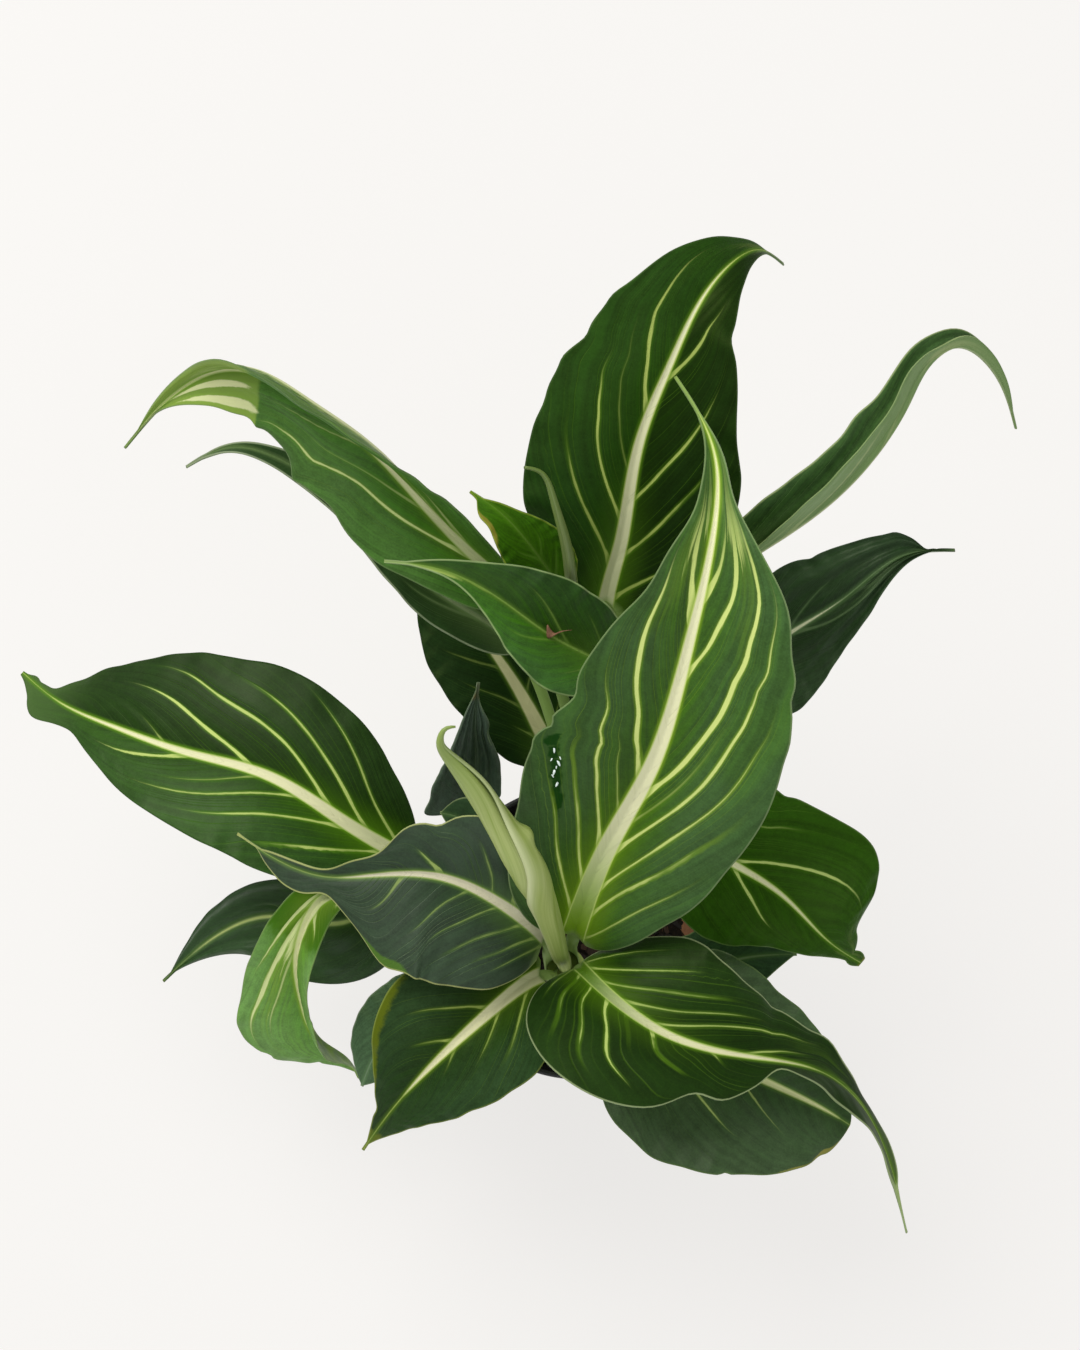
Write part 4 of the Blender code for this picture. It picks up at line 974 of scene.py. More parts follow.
grow_leaf("leaf_front_right",
          petiole=[(-3.1, -28.9, 180.3), (-2, -29, 212)],
          midrib=[(-2, -29, 234), (8, -41, 256), (36, -62, 264), (68, -71, 258), (109, -77, 232),
                  (139, -102, 195), (157, -150, 160)],
          left=(8, 44, 44, 34, 20, 9, 9, 11, 10), right=(44, 54, 40, 22, 8, 12, 13, 12, 10), widest=0.3,
          tip=1.0, fold=(18,), curl=(-15,), lobe=5, wave=(2.5, 3.5, 0.2), stalk=(2.8, 2.8),
          bumps=((1, 0.31, -8.0, 0.035), (1, 0.385, -1.5, 0.03), (1, 0.45, -6.0, 0.04),
                 (-1, 0.44, -1.5, 0.015), (-1, 0.55, 3.0, 0.03), (-1, 0.93, -3.0, 0.04),
                 (1, 0.93, -3.0, 0.04)),
          veins_left=((-0.2, 0.9, 0.6, 0.35), (-0.02, 0.85, 0.7, 0.4), (0.06, 0.8, 0.7, 0.4),
                      (0.13, 0.7, 0.6, 0.4), (0.2, 0.75, 0.7, 0.4), (0.38, 0.4, 0.8, 0.5)),
          veins_right=((-0.02, 0.85, 0.65, 0.35), (0.035, 0.9, 0.8, 0.4), (0.08, 0.9, 0.8, 0.45),
                       (0.125, 0.85, 0.9, 0.55), (0.165, 0.5, 0.4, 0.3), (0.215, 0.7, 0.9, 0.55),
                       (0.32, 0.4, 0.6, 0.4)),
          sweep=(1.1, 0.3), rib=(3.2, 0.56, 0.8, -0.4), quilt=0.8, wobble=0.004, inner="#1c3c06",
          outer="#284616", vein="#c3d678", cream="#e4e2b6", glow="#5d8618", margin="#b4c48e", rim=0.6,
          under="#9db083", tip_tint="#4d6432", tip_from=0.66, tip_blend=0.2, sheen="#c4d8a0",
          tone=(0.64, 0.64), root_green=1.0, seed=3.0)
grow_leaf("leaf_front_left",
          petiole=[(-12, -29.7, 180.3), (-14, -30, 200)],
          midrib=[(-20, -31, 213), (-45, -50, 226), (-68, -71, 224), (-88, -91, 208), (-105, -111, 180)],
          left=(40, 37, 32, 25, 18), right=(36, 38, 39, 18, 14), widest=0.35, tip=1.2, tail=0.02,
          curl=(-15,), lobe=4,
          bumps=((1, 0.78, -1.5, 0.03), (-1, 0.6, 1.0, 0.05)),
          patches=((1, 0.55, 1.0, 0.2, 0.16, 0.8), (0, 0.93, 0.6, 0.06, 0.6, 0.8)), patch_tint="#5d6a18",
          veins_left=((0.04, 0.75, 0.6, 0.5), (0.18, 0.5, 0.7, 0.6), (0.39, 0.35, 0.45, 0.5)),
          veins_right=((0.04, 0.35, 0.7, 0.7), (0.22, 0.75, 0.6, 0.5), (0.39, 0.5, 0.65, 0.5)),
          sweep=(1.2, 0.75), rib=(4.0, 0.68, 0.7), quilt=1.0, inner="#1b360c", outer="#30492a",
          vein="#b4c666", cream="#e3e0b4", glow="#567618", margin="#8d9a4a", rim=0.6, tip_tint="#8a7420",
          tip_from=0.95, tone=(1.05, 0.9), seed=4.0)
grow_leaf("leaf_left",
          petiole=[(-14.7, -22.2, 180.3), (-16.5, -19.5, 210)],
          midrib=[(-18, -16, 232), (-43, 1, 254), (-68, 10, 262), (-100, 10, 262), (-117, 10, 258),
                  (-145, 21, 248), (-162, 33, 238)],
          left=(52, 50, 48, 44, 22, 20, 12), right=(38, 38, 34, 14, 5, 8, 8), widest=0.35, tip=1.1, lobe=6,
          wave=(1.5, 3, 0),
          bumps=((1, 0.47, 5.0, 0.045), (1, 0.61, 3.0, 0.06), (1, 0.4, -2.8, 0.02), (-1, 0.68, -6.0, 0.05),
                 (-1, 0.555, 8.5, 0.055), (-1, 0.93, -1.5, 0.04), (1, 0.93, -1.5, 0.04)),
          patches=((-1, 0.535, 1.02, 0.075, 0.13, 1.3),), patch_tint="#4c7022",
          veins_left=((-0.05, 0.85, 0.5, 0.5), (0.02, 0.8, 0.6, 0.5), (0.09, 0.85, 0.6, 0.5),
                      (0.18, 0.75, 0.5, 0.5), (0.28, 0.7, 0.5, 0.45), (0.47, 0.55, 0.6, 0.6)),
          veins_right=((0.15, 0.4, 0.6, 0.8), (0.22, 0.75, 0.5, 0.45), (0.37, 0.6, 0.9, 0.8)),
          sweep=(0.65, 0.35), rib=(3.2, 0.66, 0.6), quilt=0.9, inner="#2a4127", outer="#3b4f38",
          vein="#9db25e", cream="#d6d0b2", glow="#587a30", margin="#b4ba72", rim=0.8, tip_tint="#b79a48",
          tip_from=0.97, shine=0.28, gloss=0.46, sheen="#ffffff", tone=(0.85, 0.85), seed=5.0)
grow_leaf("leaf_front_low",
          petiole=[(2.1, -31.5, 150), (6, -36, 172)],
          midrib=[(16, -44, 188), (46, -61, 204), (81, -78, 208), (118, -95, 198), (127, -100, 192)],
          left=(54, 52, 44, 39, 30), right=(54, 56, 54, 50, 55), widest=0.45, tip=0.6, tail=0.0, fold=(10,),
          curl=(-15,), wave=(1.5, 3, 0.1),
          bumps=((1, 0.62, -1.2, 0.012), (1, 0.93, -2.0, 0.02), (-1, 0.95, -2.0, 0.03)),
          patches=((1, 0.95, 0.95, 0.045, 0.12, 1.0), (1, 0.86, 1.0, 0.08, 0.035, 0.9)),
          patch_tint="#8c8a40",
          veins_left=((0.1, 0.7, 0.5, 0.5), (0.3, 0.6, 0.4, 0.5), (0.5, 0.6, 0.3, 0.5)),
          veins_right=((0.05, 0.7, 0.4, 0.5), (0.22, 0.7, 0.9, 0.7), (0.52, 0.6, 0.6, 0.6)),
          sweep=(1.0, 1.4), rib=(3.0, 0.95, 0.5), quilt=1.1, inner="#2c4b20", outer="#465e3a",
          vein="#c3d67c", cream="#f2f5b4", glow="#5b8034", margin="#6f8a45", tip_tint="#8a8a30",
          tip_from=0.99, sheen="#e4ecd8", shine=0.3, tone=(1.15, 1.05), seed=6.0)
grow_leaf("leaf_right_small",
          petiole=[(4.2, -24, 140), (14, -26, 150)],
          midrib=[(34, -31, 160), (73, -20, 170), (106, -16, 166)],
          left=(20,), right=(22,), tail=0.0, fold=(10,), rib=(1.4, 0.9), cream="#7f9272", inner="#2c4729",
          outer="#38523a", glow="#4a683a", vein="#6d8458", seed=7.0)

# Leaves of the back cane
# Nine leaves fan out from the back cane, which is the highest. Two are narrow and folded along the midrib,
# one is twisted and cream near its tip, and the ones further down lie in the shade, with their greens
# painted darker as painted shade.
grow_leaf("leaf_back",
          petiole=[(10.9, 66.9, 212.3), (13, 92, 248)],
          midrib=[(10, 133, 285), (16, 154, 310), (24, 192, 350), (37, 221, 370), (53, 250, 382),
                  (73, 270, 374), (88, 272, 352)],
          left=(45, 48, 49, 47, 45, 30, 8), right=(50, 52, 41, 27, 22), tip=1.1, tail=0.06,
          fold=(20, 15, 20), lobe=12, wave=(2, 2.5, 0.3), flutter=1.4,
          bumps=((-1, 0.75, 2.0, 0.06), (-1, 0.56, -1.5, 0.02), (-1, 0.51, 1.5, 0.02),
                 (-1, 0.43, -1.2, 0.02), (-1, 0.65, 1.5, 0.02), (1, 0.665, -2.0, 0.025)),
          veins_left=((0.06, 0.85, 0.7, 0.7), (0.19, 0.75, 0.9, 0.7), (0.31, 0.7, 0.3, 0.4),
                      (0.45, 0.8, 0.9, 0.8)),
          veins_right=((-0.03, 0.85, 0.7, 0.7), (0.11, 0.8, 0.8, 0.7), (0.25, 0.8, 0.85, 0.7),
                       (0.53, 0.7, 0.7, 0.7)),
          sweep=(1.2, 0.9), rib=(4.0, 0.84, 0.8), quilt=0.7, inner="#1c3d06", outer="#244216",
          vein="#bccc6c", cream="#e2e2b8", glow="#568018", margin="#4c6438", shine=0.3, tone=(1.2, 0.52),
          seed=8.0)
grow_leaf("leaf_back_right",
          petiole=[(12.7, 60.2, 212.3), (26, 88, 262)],
          midrib=[(51, 129, 322), (75, 142, 348), (112, 162, 388), (134, 191, 403), (142, 206, 404),
                  (155, 217, 400), (172, 215, 384), (190, 198, 345)],
          left=(18, 20, 15, 10, 9), right=(18, 17, 13, 9, 8), widest=0.35, tip=0.8,
          fold_left=(40, 45, 40, 30), fold_right=(60, 85, 80, 40), curl=(5,), roll=(0, -15, -15, 0),
          bumps=((1, 0.6, 2.5, 0.03), (1, 0.68, -3.0, 0.03), (-1, 0.5, 1.5, 0.04)),
          veins_left=((0.05, 0.5, 0.3, 0.4), (0.3, 0.5, 0.3, 0.4)),
          veins_right=((0.05, 0.8, 0.9, 0.7), (0.2, 0.8, 0.8, 0.7)), rib=(1.8, 0.6), pleat=(0.8, 1.5),
          inner="#3a5c28", outer="#48663c", vein="#c2cb92", cream="#d6dcae", glow="#77935a",
          margin="#c0cc92", under="#7e9a62", flutter=0.7, seed=9.0)
grow_leaf("leaf_right",
          petiole=[(18.7, 56.7, 195), (34, 78, 222)],
          midrib=[(62, 100, 245), (98, 124, 268), (122, 137, 286), (142, 151, 296), (171, 158, 285)],
          left=(26, 27, 29, 29, 30), right=(40, 34, 21, 14, 8), widest=0.35, tip=1.2, tail=0.06,
          bumps=((-1, 0.88, -3.0, 0.03), (-1, 0.8, 1.0, 0.02), (-1, 0.55, -1.0, 0.03)),
          veins_left=((0.1, 0.7, 0.3, 0.5), (0.3, 0.6, 0.3, 0.5)),
          veins_right=((0.05, 0.6, 0.3, 0.5), (0.33, 0.9, 0.4, 0.6)),
          sweep=(1.3, 1.4), rib=(2.6, 0.6, 0.9), quilt=0.7, pleat=(1.5, 2.2), inner="#172f12",
          outer="#2f4729", vein="#6e865c", cream="#d6d7b4", glow="#4d6a3c", margin="#40583a", rim=0.3,
          shine=0.34, sheen="#dce6cc", tone=(0.95, 0.85), seed=10.0)
grow_leaf("leaf_right_low",
          petiole=[(18.6, 44.9, 170), (25, 46, 194)],
          midrib=[(32, 49, 211), (51, 34, 222), (72, 20, 226), (94, 6, 224), (115, -13, 212),
                  (134, -23, 195)],
          left=(44, 44, 43, 55, 40), right=(38, 38, 36, 22, 10), widest=0.5, tip=0.8, tail=0.06, fold=(12,),
          curl=(-20,),
          bumps=((-1, 0.965, 4.0, 0.045), (1, 0.96, 3.0, 0.045), (-1, 0.87, -5.0, 0.03),
                 (-1, 0.33, 2.5, 0.05), (-1, 0.42, -1.0, 0.02)),
          patches=((-1, 0.33, 1.0, 0.06, 0.06, 1.0),), patch_tint="#6b6a3a",
          veins_left=((0.09, 0.85, 0.35, 0.6), (0.36, 0.85, 0.9, 0.75)),
          veins_right=((0.1, 0.6, 0.3, 0.5), (0.37, 0.65, 0.9, 0.8)),
          sweep=(1.4, 1.1), rib=(3.0, 0.85, 0.9), quilt=0.8, inner="#234806", outer="#2c520f",
          vein="#c3d67c", cream="#e2e2b4", glow="#4f7c12", margin="#6d8a4a", gloss=0.34, shine=0.3,
          seed=11.0)
grow_leaf("leaf_back_left",
          petiole=[(-0.7, 63.8, 212.3), (-9, 93, 255)],
          midrib=[(-28, 131, 290), (-51, 148, 318), (-76, 168, 350), (-101, 184, 386), (-118, 194, 394),
                  (-138, 206, 396), (-155, 211, 388), (-175, 208, 372), (-205, 192, 335)],
          left=(30, 34, 46, 24, 30), right=(12, 16, 20, 14, 12), tip=1.0, fold=(30,), curl=(1,),
          roll=(0, -30, -70, -55, -10),
          bumps=((1, 0.45, -6.0, 0.12), (1, 0.7, 4.5, 0.05), (-1, 0.4, -11.0, 0.08),
                 (-1, 0.56, -9.0, 0.07), (-1, 0.73, 2.5, 0.05), (-1, 0.89, -5.0, 0.08)),
          patches=((-1, 0.76, 0.3, 0.09, 0.09, 1.3), (-1, 0.74, 0.74, 0.09, 0.09, 1.3)),
          patch_tint="#d6dba2",
          veins_left=((-0.15, 0.7, 0.3, 0.4), (0.1, 0.95, 1.0, 0.7), (0.24, 0.6, 0.4, 0.4),
                      (0.42, 0.5, 0.4, 0.4)),
          veins_right=((0.06, 0.7, 0.6, 0.6), (0.4, 0.8, 0.7, 0.6)),
          sweep=(1.4, 1.5), rib=(3.0, 1.0, 0.8), quilt=0.9, pleat=(0.8, 1.5), inner="#315c14",
          outer="#45682e", vein="#c9d98a", cream="#dce0ae", glow="#6b922a", margin="#7d9660",
          under="#3f5f2c", tip_tint="#86a444", tip_from=0.645, tip_blend=0.012, sheen="#dfe8c8",
          tone=(1.4, 1.7), seed=12.0)
grow_leaf("leaf_back_left_low",
          petiole=[(1.1, 57.1, 212.3), (-10, 73, 236)],
          midrib=[(-30, 117, 258), (-69, 141, 279), (-100, 168, 302), (-128, 186, 320), (-156, 197, 320),
                  (-182, 193, 302)],
          left=(27, 18, 12, 9, 12), right=(20, 18, 15, 8, 6), tip=1.0, fold=(30,), curl=(1,),
          wave=(2, 4, 0), rib=(1.8, 0.7), flutter=1.6, inner="#1f3a12", outer="#3f5a34", cream="#8a9a70",
          vein="#6f8458", glow="#6f8a52", margin="#9aa884", rim=0.9, under="#7d906c", seed=13.0)
grow_leaf("leaf_centre_left",
          petiole=[(-5.5, 50.8, 170), (-10, 60, 190)],
          midrib=[(-13, 72, 203), (-19, 85, 212), (-33, 109, 224), (-54, 137, 232), (-80, 167, 234)],
          left=(30, 29, 32, 38, 40), right=(38,), tip=1.0, tail=0.02, fold=(8,),
          veins_left=((0.1, 0.5, 0.7, 0.6), (0.25, 0.75, 0.5, 0.5), (0.44, 0.75, 0.5, 0.5)),
          veins_right=((0.1, 0.6, 0.5, 0.5), (0.3, 0.6, 0.5, 0.5)),
          sweep=(0.8, 0.8), rib=(4.4, 0.85, 0.8), quilt=1.2, inner="#183010", outer="#20381b",
          vein="#86994f", cream="#dcd8a6", glow="#4b6a22", margin="#33482a", shine=0.26, seed=14.0)
grow_leaf("leaf_back_folded",
          petiole=[(7.8, 55.3, 212.3), (11, 80, 258)],
          midrib=[(12, 98, 300), (-11, 107, 320), (-39, 122, 341), (-64, 132, 352), (-88, 136, 350)],
          left=(28, 25, 16, 6, 7), right=(32, 28, 23, 12, 8), tip=1.0, tail=0.05, fold=(20,), curl=(1,),
          patches=((-1, 0.86, 0.3, 0.14, 0.5, 1.2), (-1, 0.7, 0.03, 0.1, 0.12, 1.2)), patch_tint="#a8bd60",
          veins_left=((0.05, 0.7, 0.25, 0.5), (0.28, 0.7, 0.25, 0.5)),
          veins_right=((0.0, 0.8, 0.2, 0.5), (0.22, 0.7, 0.4, 0.5)),
          sweep=(0.75, 1.05), rib=(0.4, 1.0), quilt=0.5, inner="#2f5a06", outer="#3a602a", vein="#86a64c",
          cream="#6f8f34", glow="#5a7d28", margin="#a3b97c", rim=0.7, sheen="#dfe8c8", tone=(1.45, 0.75),
          seed=15.0)
grow_leaf("leaf_back_small",
          petiole=[(4.2, 68.7, 212.3), (-2, 100, 258)],
          midrib=[(-11, 133, 308), (-25, 149, 330), (-38, 161, 340), (-51, 171, 338)],
          left=(16,), right=(16,), tail=0.05, fold=(20,), curl=(1,), rib=(0.6, 0.9), cream="#5f8230",
          bumps=((-1, 0.85, 3.0, 0.08), (1, 0.7, -4.0, 0.2)),
          patches=((-1, 0.75, 1.0, 0.15, 0.25, 1.0),), patch_tint="#7d7a2c", inner="#356006",
          outer="#356010", glow="#4d7a18", margin="#93a23c", vein="#5f8230", seed=16.0)

# Leaves of the left cane
# Six leaves grow from the short left cane: a broad one that reaches far out, a pale one that curls over and
# hangs, and four that are dark or small and stand between the others.
grow_leaf("leaf_left_broad",
          petiole=[(-49.1, 8, 165.3), (-62, 16, 184)],
          midrib=[(-85, 27, 200), (-114, 42, 216), (-150, 63, 224), (-187, 74, 222), (-226, 89, 212),
                  (-257, 105, 198), (-276, 121, 188)],
          left=(44, 44, 44, 39, 31, 20, 24), right=(43, 45, 50, 52, 51, 36, 18), tip=0.75, tail=0.05,
          fold=(12,), curl=(-12,), lobe=3,
          bumps=((-1, 0.915, 9.0, 0.055), (1, 0.96, 2.5, 0.02), (1, 0.9, -3.0, 0.025),
                 (1, 0.79, 1.5, 0.03), (-1, 0.8, -1.5, 0.03)),
          veins_left=((0.01, 0.9, 0.8, 0.6), (0.13, 0.85, 0.8, 0.6), (0.25, 0.8, 0.8, 0.5),
                      (0.35, 0.55, 0.4, 0.4), (0.52, 0.65, 0.9, 0.8)),
          veins_right=((-0.05, 1.0, 0.65, 0.6), (0.07, 0.9, 0.85, 0.7), (0.18, 0.95, 0.9, 0.7),
                       (0.38, 0.75, 1.0, 0.8), (0.58, 0.35, 0.5, 0.5)),
          sweep=(1.1, 1.15), rib=(3.7, 0.9, 0.8, -0.8), quilt=0.9, inner="#284e06", outer="#365824",
          vein="#cadb7c", cream="#eceabc", glow="#5f9014", margin="#3f5a2a", rim=0.3, tip_tint="#4c6a34",
          tip_from=0.76, tip_blend=0.2, sheen="#d5e2bc", tone=(0.92, 0.48), seed=17.0)
grow_leaf("leaf_left_dark",
          petiole=[(-52.2, 2.5, 145), (-64, 8, 154)],
          midrib=[(-80, 17, 160), (-116, 0, 166), (-152, 3, 163), (-179, -4, 152), (-210, -26, 132)],
          left=(30, 31, 27, 16, 6), right=(25, 25, 20, 21, 16), tip=1.0, fold=(2,), curl=(-20,),
          veins_left=((0.1, 0.6, 0.2, 0.4), (0.4, 0.6, 0.25, 0.4)),
          veins_right=((0.1, 0.5, 0.2, 0.4), (0.4, 0.5, 0.2, 0.4)), rib=(1.5, 0.85, 0.4), quilt=0.8,
          pleat=(1.2, 1.8), inner="#1a340f", outer="#324a2c", vein="#7d9258", cream="#b9c678",
          glow="#4a6a28", margin="#3a4f36", rim=0.3, shine=0.4, sheen="#e4ecdc", tone=(1.5, 1.25),
          seed=18.0)
grow_leaf("leaf_left_curled",
          petiole=[(-49.1, 2.1, 165.3), (-76, 6, 190)],
          midrib=[(-114, 9, 204), (-124, 5, 211), (-133, -9, 207), (-137, -24, 194), (-136, -39, 176),
                  (-129, -57, 154), (-117, -65, 140), (-111, -74, 128)],
          left=(20,), right=(20, 22, 30, 38, 22), widest=0.5, tip=1.0, fold_left=(40, 75, 75, 75),
          fold_right=(12,), curl=(-12,), wave=(1.5, 2.5, 0.4),
          patches=((0, 0.1, 0.5, 0.16, 1.2, 1.0),), patch_tint="#3f7006",
          bumps=((1, 0.8, -5.0, 0.1), (1, 0.715, -2.0, 0.012), (1, 0.83, -1.5, 0.012)),
          veins_left=((0.0, 0.9, 0.7, 0.6), (0.12, 0.8, 0.8, 0.7)),
          veins_right=((-0.05, 0.9, 0.9, 0.8), (0.08, 1.0, 1.0, 1.2), (0.25, 0.7, 0.6, 0.6)),
          sweep=(0.3, 1.5), rib=(2.8, 0.8, 0.6), quilt=0.8, inner="#56862a", outer="#6f9a50",
          vein="#e2eca4", cream="#e6e8b6", glow="#8fb338", margin="#7f9a55", sheen="#dfe8c8",
          tone=(1.15, 1.15), seed=19.0)
grow_leaf("leaf_left_pale",
          petiole=[(-44, -0.9, 165.3), (-46, -14, 172)],
          midrib=[(-55, -28, 172), (-74, -44, 180), (-95, -59, 178), (-107, -80, 165)],
          left=(25,), right=(22,), widest=0.45, tip=1.0, tail=0.0, fold=(10,), rib=(1.2, 0.8),
          cream="#93a384", inner="#43603f", outer="#4f6a4c", glow="#607f56", vein="#7d9078",
          margin="#8a9a7a", seed=20.0)
grow_leaf("leaf_centre_narrow",
          petiole=[(-43, 10.8, 165.3), (-46, 34, 182)],
          midrib=[(-51, 54, 196), (-51, 76, 224), (-51, 87, 247), (-49, 101, 260)],
          left=(30, 26, 20, 17, 18), right=(16, 14, 12, 8, 8), widest=0.3, fold=(30,), curl=(1,),
          bumps=((-1, 0.08, 9.0, 0.08), (1, 0.08, 2.5, 0.08), (1, 0.75, 3.6, 0.09)), rib=(0.5, 0.9),
          quilt=0.5, flutter=0.3, pleat=(1.2, 2.6), cream="#5a6a58", inner="#2c3f30", outer="#4a5c4c",
          glow="#4d6248", vein="#56684f", margin="#5a6a54", tip_tint="#85702f", tip_from=0.88, gloss=0.48,
          shine=0.35, sheen="#ffffff", tone=(1.2, 1.2), seed=21.0)
grow_leaf("leaf_centre_low",
          petiole=[(-38.5, 7, 165.3), (-32, 8, 180)],
          midrib=[(-25, 8, 190), (-39, 24, 211), (-54, 42, 218), (-68, 47, 213)],
          left=(26,), right=(26,), tip=1.0, tail=0.0, fold=(12,), rib=(1.4, 0.8), cream="#93a384",
          roll=(0, 0, 40, 80), flutter=1.2, inner="#263f22", outer="#3c553a", glow="#4a683a",
          vein="#6d8058", margin="#8a9a6a", rim=0.8, seed=22.0)


# New leaves
# Two leaves that are still rolled up stand between the others: a soft pale sheet wound round itself, with
# its free edge showing as a slit along the roll.
SPEAR_ROWS = 130
SPEAR_COLUMNS = 44
SHEET = 0.7

# Young leaf skin: pale yellow green and smooth, streaked along the roll, paler at the free edge, greener at
# the tip and darker green on the side that is rolled in
spear_skin, tree, shader = new_material("young_rolled_leaf_skin")
run = add_node(tree, "Attribute", {"attribute_name": "round"}, output="Fac")
height = add_node(tree, "Attribute", {"attribute_name": "height"}, output="Fac")
inner_side = add_node(tree, "Attribute", {"attribute_name": "inside"}, output="Fac")
sheet_place = add_node(tree, "CombineXYZ", inputs={0: run, 1: height})
stripe_way = add_node(tree, "Mapping", inputs={"Vector": sheet_place, "Scale": (34.0, 2.5, 1.0)})
stripes = add_node(tree, "TexNoise", inputs={"Vector": stripe_way, "Scale": 1.0, "Detail": 4.0,
                                             "Roughness": 0.6})
shade = add_node(tree, "ValToRGB", inputs={"Fac": stripes})
ramp = shade.node.color_ramp
ramp.elements[0].position = 0.3
ramp.elements[0].color = linear("#94a94a")
ramp.elements[1].position = 0.72
ramp.elements[1].color = linear("#c0cc80")
edge = add_node(tree, "MapRange", SMOOTH, {"Value": run, 1: 0.93, 2: 0.99})
tip_green = add_node(tree, "MapRange", SMOOTH, {"Value": height, 1: 0.7, 2: 1.0, 4: 0.6})
olive = add_node(tree, "Attribute", {"attribute_name": "olive"}, output="Fac")
color = add_node(tree, "Mix", COLOR, {0: edge, 6: shade, 7: linear("#d3dca0")}, 2)
color = add_node(tree, "Mix", COLOR, {0: tip_green, 6: color, 7: linear("#6d8c34")}, 2)
color = add_node(tree, "Mix", COLOR, {0: inner_side, 6: color, 7: linear("#4d6d20")}, 2)
color = add_node(tree, "Mix", COLOR, {0: olive, 6: color, 7: linear("#5d7430")}, 2)
tree.links.new(color, shader.inputs["Base Color"])
bump = add_node(tree, "Bump", inputs={"Strength": 0.3, "Distance": 0.0005, "Height": stripes})
tree.links.new(bump, shader.inputs["Normal"])
shader.inputs["Roughness"].default_value = 0.42


def roll_spear(name, petiole, midrib, radii, turns, edge_at, open_at, opening, knob, olive):
    """A rolled leaf: at each height a sheet runs round by the given turns while its distance from the
    middle grows from 0.6 to 1 of the roll's radius, with the square root of its share of the way round.

    edge_at is the direction of the free edge in degrees, evenly spaced from foot to tip (90 is the side
    that faces up). At each share of the height in open_at the edge stands off by a share of the radius over
    a spread, which opening holds as two rows. knob is a small bulge's share of the height, direction and
    size, and olive is how far the skin has turned to a dull green.
    """
    path = stalk_line(petiole, midrib)
    place = np.linspace(0, 1, SPEAR_ROWS)
    radius = np.maximum(along(radii, place), 0.4)[:, None]
    point, ahead, aside, up = (part[:, None, :] for part in frames_at(path, path[0][-1] * place))
    round_share = np.linspace(0, 1, SPEAR_COLUMNS)[None, :]
    angle = 2 * math.pi * turns * (round_share - 1) + np.radians(along(edge_at, place))[:, None]
    near_edge = np.clip((round_share - 0.8) / 0.2, 0, 1)**2
    lift = 1 + sum(tall * np.exp(-((place[:, None] - at) / spread)**2) * near_edge
                   for at, tall, spread in zip(open_at, *opening))
    outer = radius * (0.6 + 0.4 * round_share**0.5) * lift
    knob_at, knob_turn, knob_height = knob
    knob_side = np.clip(np.cos(angle - math.radians(knob_turn)), 0, 1)**6 * (round_share > 0.5)
    outer = outer + knob_height * np.exp(-((place[:, None] - knob_at) / 0.02)**2) * knob_side
    ribbing = np.sin(2 * math.pi * (9 * round_share + 2 * place[:, None]))
    outer = outer + 0.15 * ribbing * np.clip(radius / 5, 0, 1)
    sheet = np.minimum(SHEET, radius * 0.25)
    inner = outer - sheet
    rounds = np.concatenate([outer, inner[:, ::-1]], axis=1)
    angles = np.concatenate([angle, angle[:, ::-1]], axis=1)
    spokes = aside * np.cos(angles)[..., None] + up * np.sin(angles)[..., None]
    points = point + spokes * rounds[..., None]
    rows, ring = points.shape[:2]
    faces = grid_faces(rows, ring, True)
    faces += [list(range(ring))[::-1], list(range((rows - 1) * ring, rows * ring))]
    spear = add_mesh(name + "_rolled", points, [face[::-1] for face in faces], spear_skin)
    whole = np.ones((rows, SPEAR_COLUMNS))
    rounds = round_share * whole
    facts = {"round": np.concatenate([rounds, rounds[:, ::-1]], axis=1),
             "height": np.broadcast_to(place[:, None], (rows, ring)),
             "inside": np.concatenate([0 * whole, whole], axis=1),
             "olive": np.full((rows, ring), olive)}
    for word, values in facts.items():
        spear.data.attributes.new(word, "FLOAT", "POINT").data.foreach_set("value", np.ravel(values))
    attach(spear, "root")
    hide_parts(name)


roll_spear("spear_front",
           petiole=[(-8, -24, 180.3), (-9, -24, 212)],
           midrib=[(-11, -23, 240), (-18.5, -7, 290), (-28, 9, 318), (-40.5, 26, 340), (-51, 38.5, 358),
                   (-60, 47, 372), (-62, 52, 380), (-60, 55.5, 382), (-55.5, 56.5, 382)],
           radii=(3.2, 3.6, 4.1, 4.7, 5.6, 7.1, 8.9, 7.2, 5.8, 3.2, 0.5), turns=1.6,
           edge_at=(200, 200, 200, 200, 195, 175, 115, 88, 55, 50, 90), open_at=(0.68, 0.82),
           opening=((0.1, 0.2), (0.04, 0.07)), knob=(0.665, 5, 3.0), olive=0.0)
roll_spear("spear_back",
           petiole=[(6, 62, 212.3), (3, 94, 262)],
           midrib=[(-6, 131, 320), (-9, 144, 348), (-15, 160, 370), (-20, 168, 378), (-27, 169, 382)],
           radii=(2.6, 2.5, 2.5, 2.9, 3.1, 2.2, 0.7), turns=1.5, edge_at=(120, 120, 110, 90),
           open_at=(0.75,), opening=((0.4,), (0.12,)), knob=(0.5, 0, 0.0), olive=0.8)

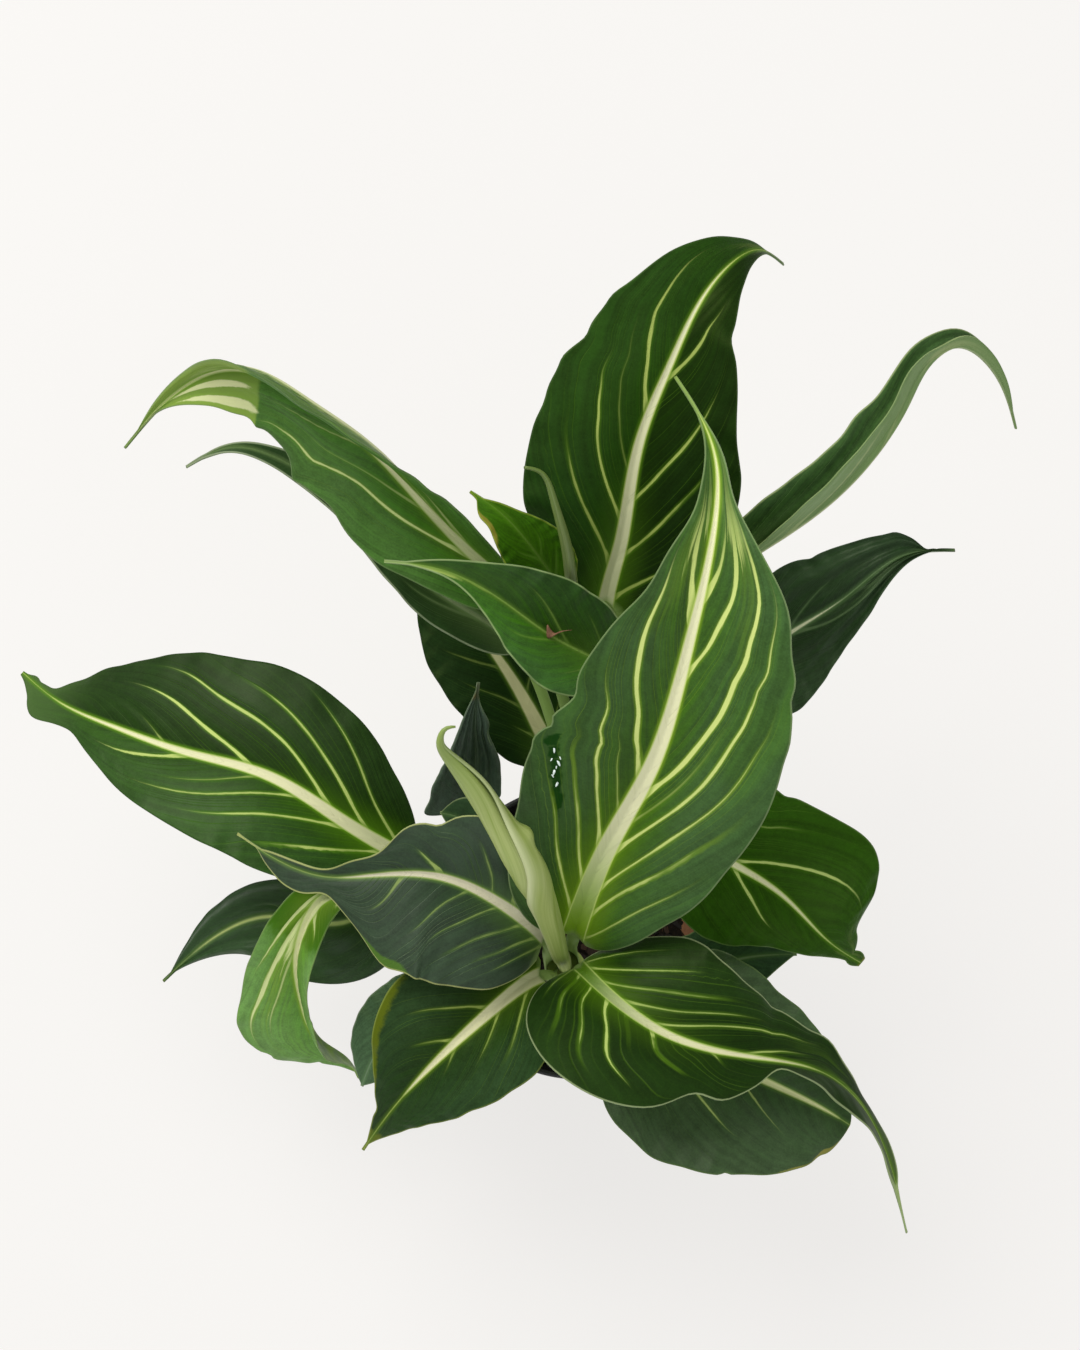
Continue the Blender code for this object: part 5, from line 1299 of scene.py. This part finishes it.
# Water and a dried scrap
# A run of water on the tall leaf's left half beads into a few long drops, and a brown curl of an old flower
# sheath lies on the folded leaf. Both are loose and lie on the leaves' skin.
# Each drop: its place along the leaf, its share across and its size
DROPS = ((0.352, -0.8, 1.1), (0.343, -0.77, 0.7), (0.334, -0.8, 0.8), (0.33, -0.755, 1.3),
         (0.322, -0.765, 0.7), (0.315, -0.72, 1.3), (0.306, -0.735, 0.8), (0.298, -0.69, 1.2),
         (0.29, -0.665, 0.7))
DROP_LEVELS = 6
DROP_SIDES = 10
SCRAP_WAY = ((0.34, 0.1), (0.3, -0.02), (0.28, 0.1), (0.25, 0.22))
SCRAP_LIFT = (1.2, 1.8, 2.5, 4.0)
SCRAP_ROWS = 14
SCRAP_SIDES = 8
SCRAP_STAIN = 2.5


def spot_on(leaf, place, across):
    """The point of a leaf's upper skin that is nearest to a place along it and a signed share across it. A
    step along counts three times as much as a step across."""
    count = len(leaf.data.vertices)
    points = np.empty(count * 3)
    leaf.data.vertices.foreach_get("co", points)
    facts = np.empty((4, count))
    for row, word in zip(facts, ("place", "across", "hand", "lower")):
        leaf.data.attributes[word].data.foreach_get("value", row)
    signed = facts[1] * np.where(facts[2] > 0.5, 1, -1)
    off = np.abs(facts[0] - place) * 3 + np.abs(signed - across) + 9 * facts[3]
    return points.reshape(-1, 3)[np.argmin(off)] / MM


# Beaded water: smooth and very glossy. Its pale solid colour is a painted highlight that stands in for the
# bright glints of clear drops, which are too small for one to see through.
water, tree, shader = new_material("beaded_water_painted_glint")
shader.inputs["Base Color"].default_value = linear("#e6f2ee")
shader.inputs["Roughness"].default_value = 0.08
shader.inputs["Specular IOR Level"].default_value = 0.8
drop_points = []
turn = np.linspace(0, 2 * math.pi, DROP_SIDES, endpoint=False)
level = np.linspace(0.05, math.pi - 0.05, DROP_LEVELS)[:, None]
tall_leaf = bpy.data.objects["leaf_tallest_veined"]
for number, (place, across, size) in enumerate(DROPS):
    lean = 0.5 * math.sin(number * 2.4)
    side = 0.45 * size * np.sin(level) * np.cos(turn)
    long = 1.5 * size * np.sin(level) * np.sin(turn)
    drop_x = side * math.cos(lean) - long * math.sin(lean)
    drop_y = side * math.sin(lean) + long * math.cos(lean)
    drop = np.stack([drop_x, drop_y, 0.35 * size * np.cos(level) + 0 * turn + 0.35], -1)
    drop_points.append(drop + spot_on(tall_leaf, place, across))
drop_corners = DROP_LEVELS * DROP_SIDES
one_drop = [face[::-1] for face in grid_faces(DROP_LEVELS, DROP_SIDES, True)]
one_drop += [list(range(DROP_SIDES)), list(range(drop_corners - DROP_SIDES, drop_corners))[::-1]]
drop_faces = [[v + drop_corners * n for v in face] for n in range(len(DROPS)) for face in one_drop]
drops = add_mesh("water_drops", np.concatenate(drop_points), drop_faces, water)
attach(drops, "root")

# Dried sheath: dull and papery, reddish brown with lighter stains
scrap_skin, tree, shader = new_material("dried_flower_sheath")
place = add_node(tree, "TexCoord", output="Object")
spots = add_node(tree, "TexNoise", inputs={"Vector": place, "Scale": 1 / (SCRAP_STAIN * MM), "Detail": 3.0})
color = add_node(tree, "Mix", COLOR, {0: spots, 6: linear("#4a2418"), 7: linear("#a5795a")}, 2)
tree.links.new(color, shader.inputs["Base Color"])
shader.inputs["Roughness"].default_value = 0.8
folded_leaf = bpy.data.objects["leaf_back_folded_veined"]
scrap_way = np.array([spot_on(folded_leaf, *spot) for spot in SCRAP_WAY])
scrap_way[:, 2] += SCRAP_LIFT
run = np.linspace(0, 1, SCRAP_ROWS)
scrap_way = natural_curve([0.0, 1.0, 2.0, 3.0], scrap_way, 3 * run)[:, None, :]
turn = np.linspace(0, 2 * math.pi, SCRAP_SIDES, endpoint=False)
thick = ((0.4 + 2.0 * np.sin(math.pi * run**0.7)**2) * (1 - 0.6 * run))[:, None]
scrap_out = 0.7 * thick * np.cos(turn)
scrap_points = scrap_way + np.stack([scrap_out, scrap_out, 0.4 * thick * np.sin(turn)], -1)
scrap_corners = SCRAP_ROWS * SCRAP_SIDES
scrap_faces = [face[::-1] for face in grid_faces(SCRAP_ROWS, SCRAP_SIDES, True)]
scrap_faces += [list(range(SCRAP_SIDES)), list(range(scrap_corners - SCRAP_SIDES, scrap_corners))[::-1]]
scrap = add_mesh("dried_scrap", scrap_points, scrap_faces, scrap_skin)
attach(scrap, "root")

visual_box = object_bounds()
size = {"cad": [list(corner) for corner in cad_box], "visual": [list(corner) for corner in visual_box]}
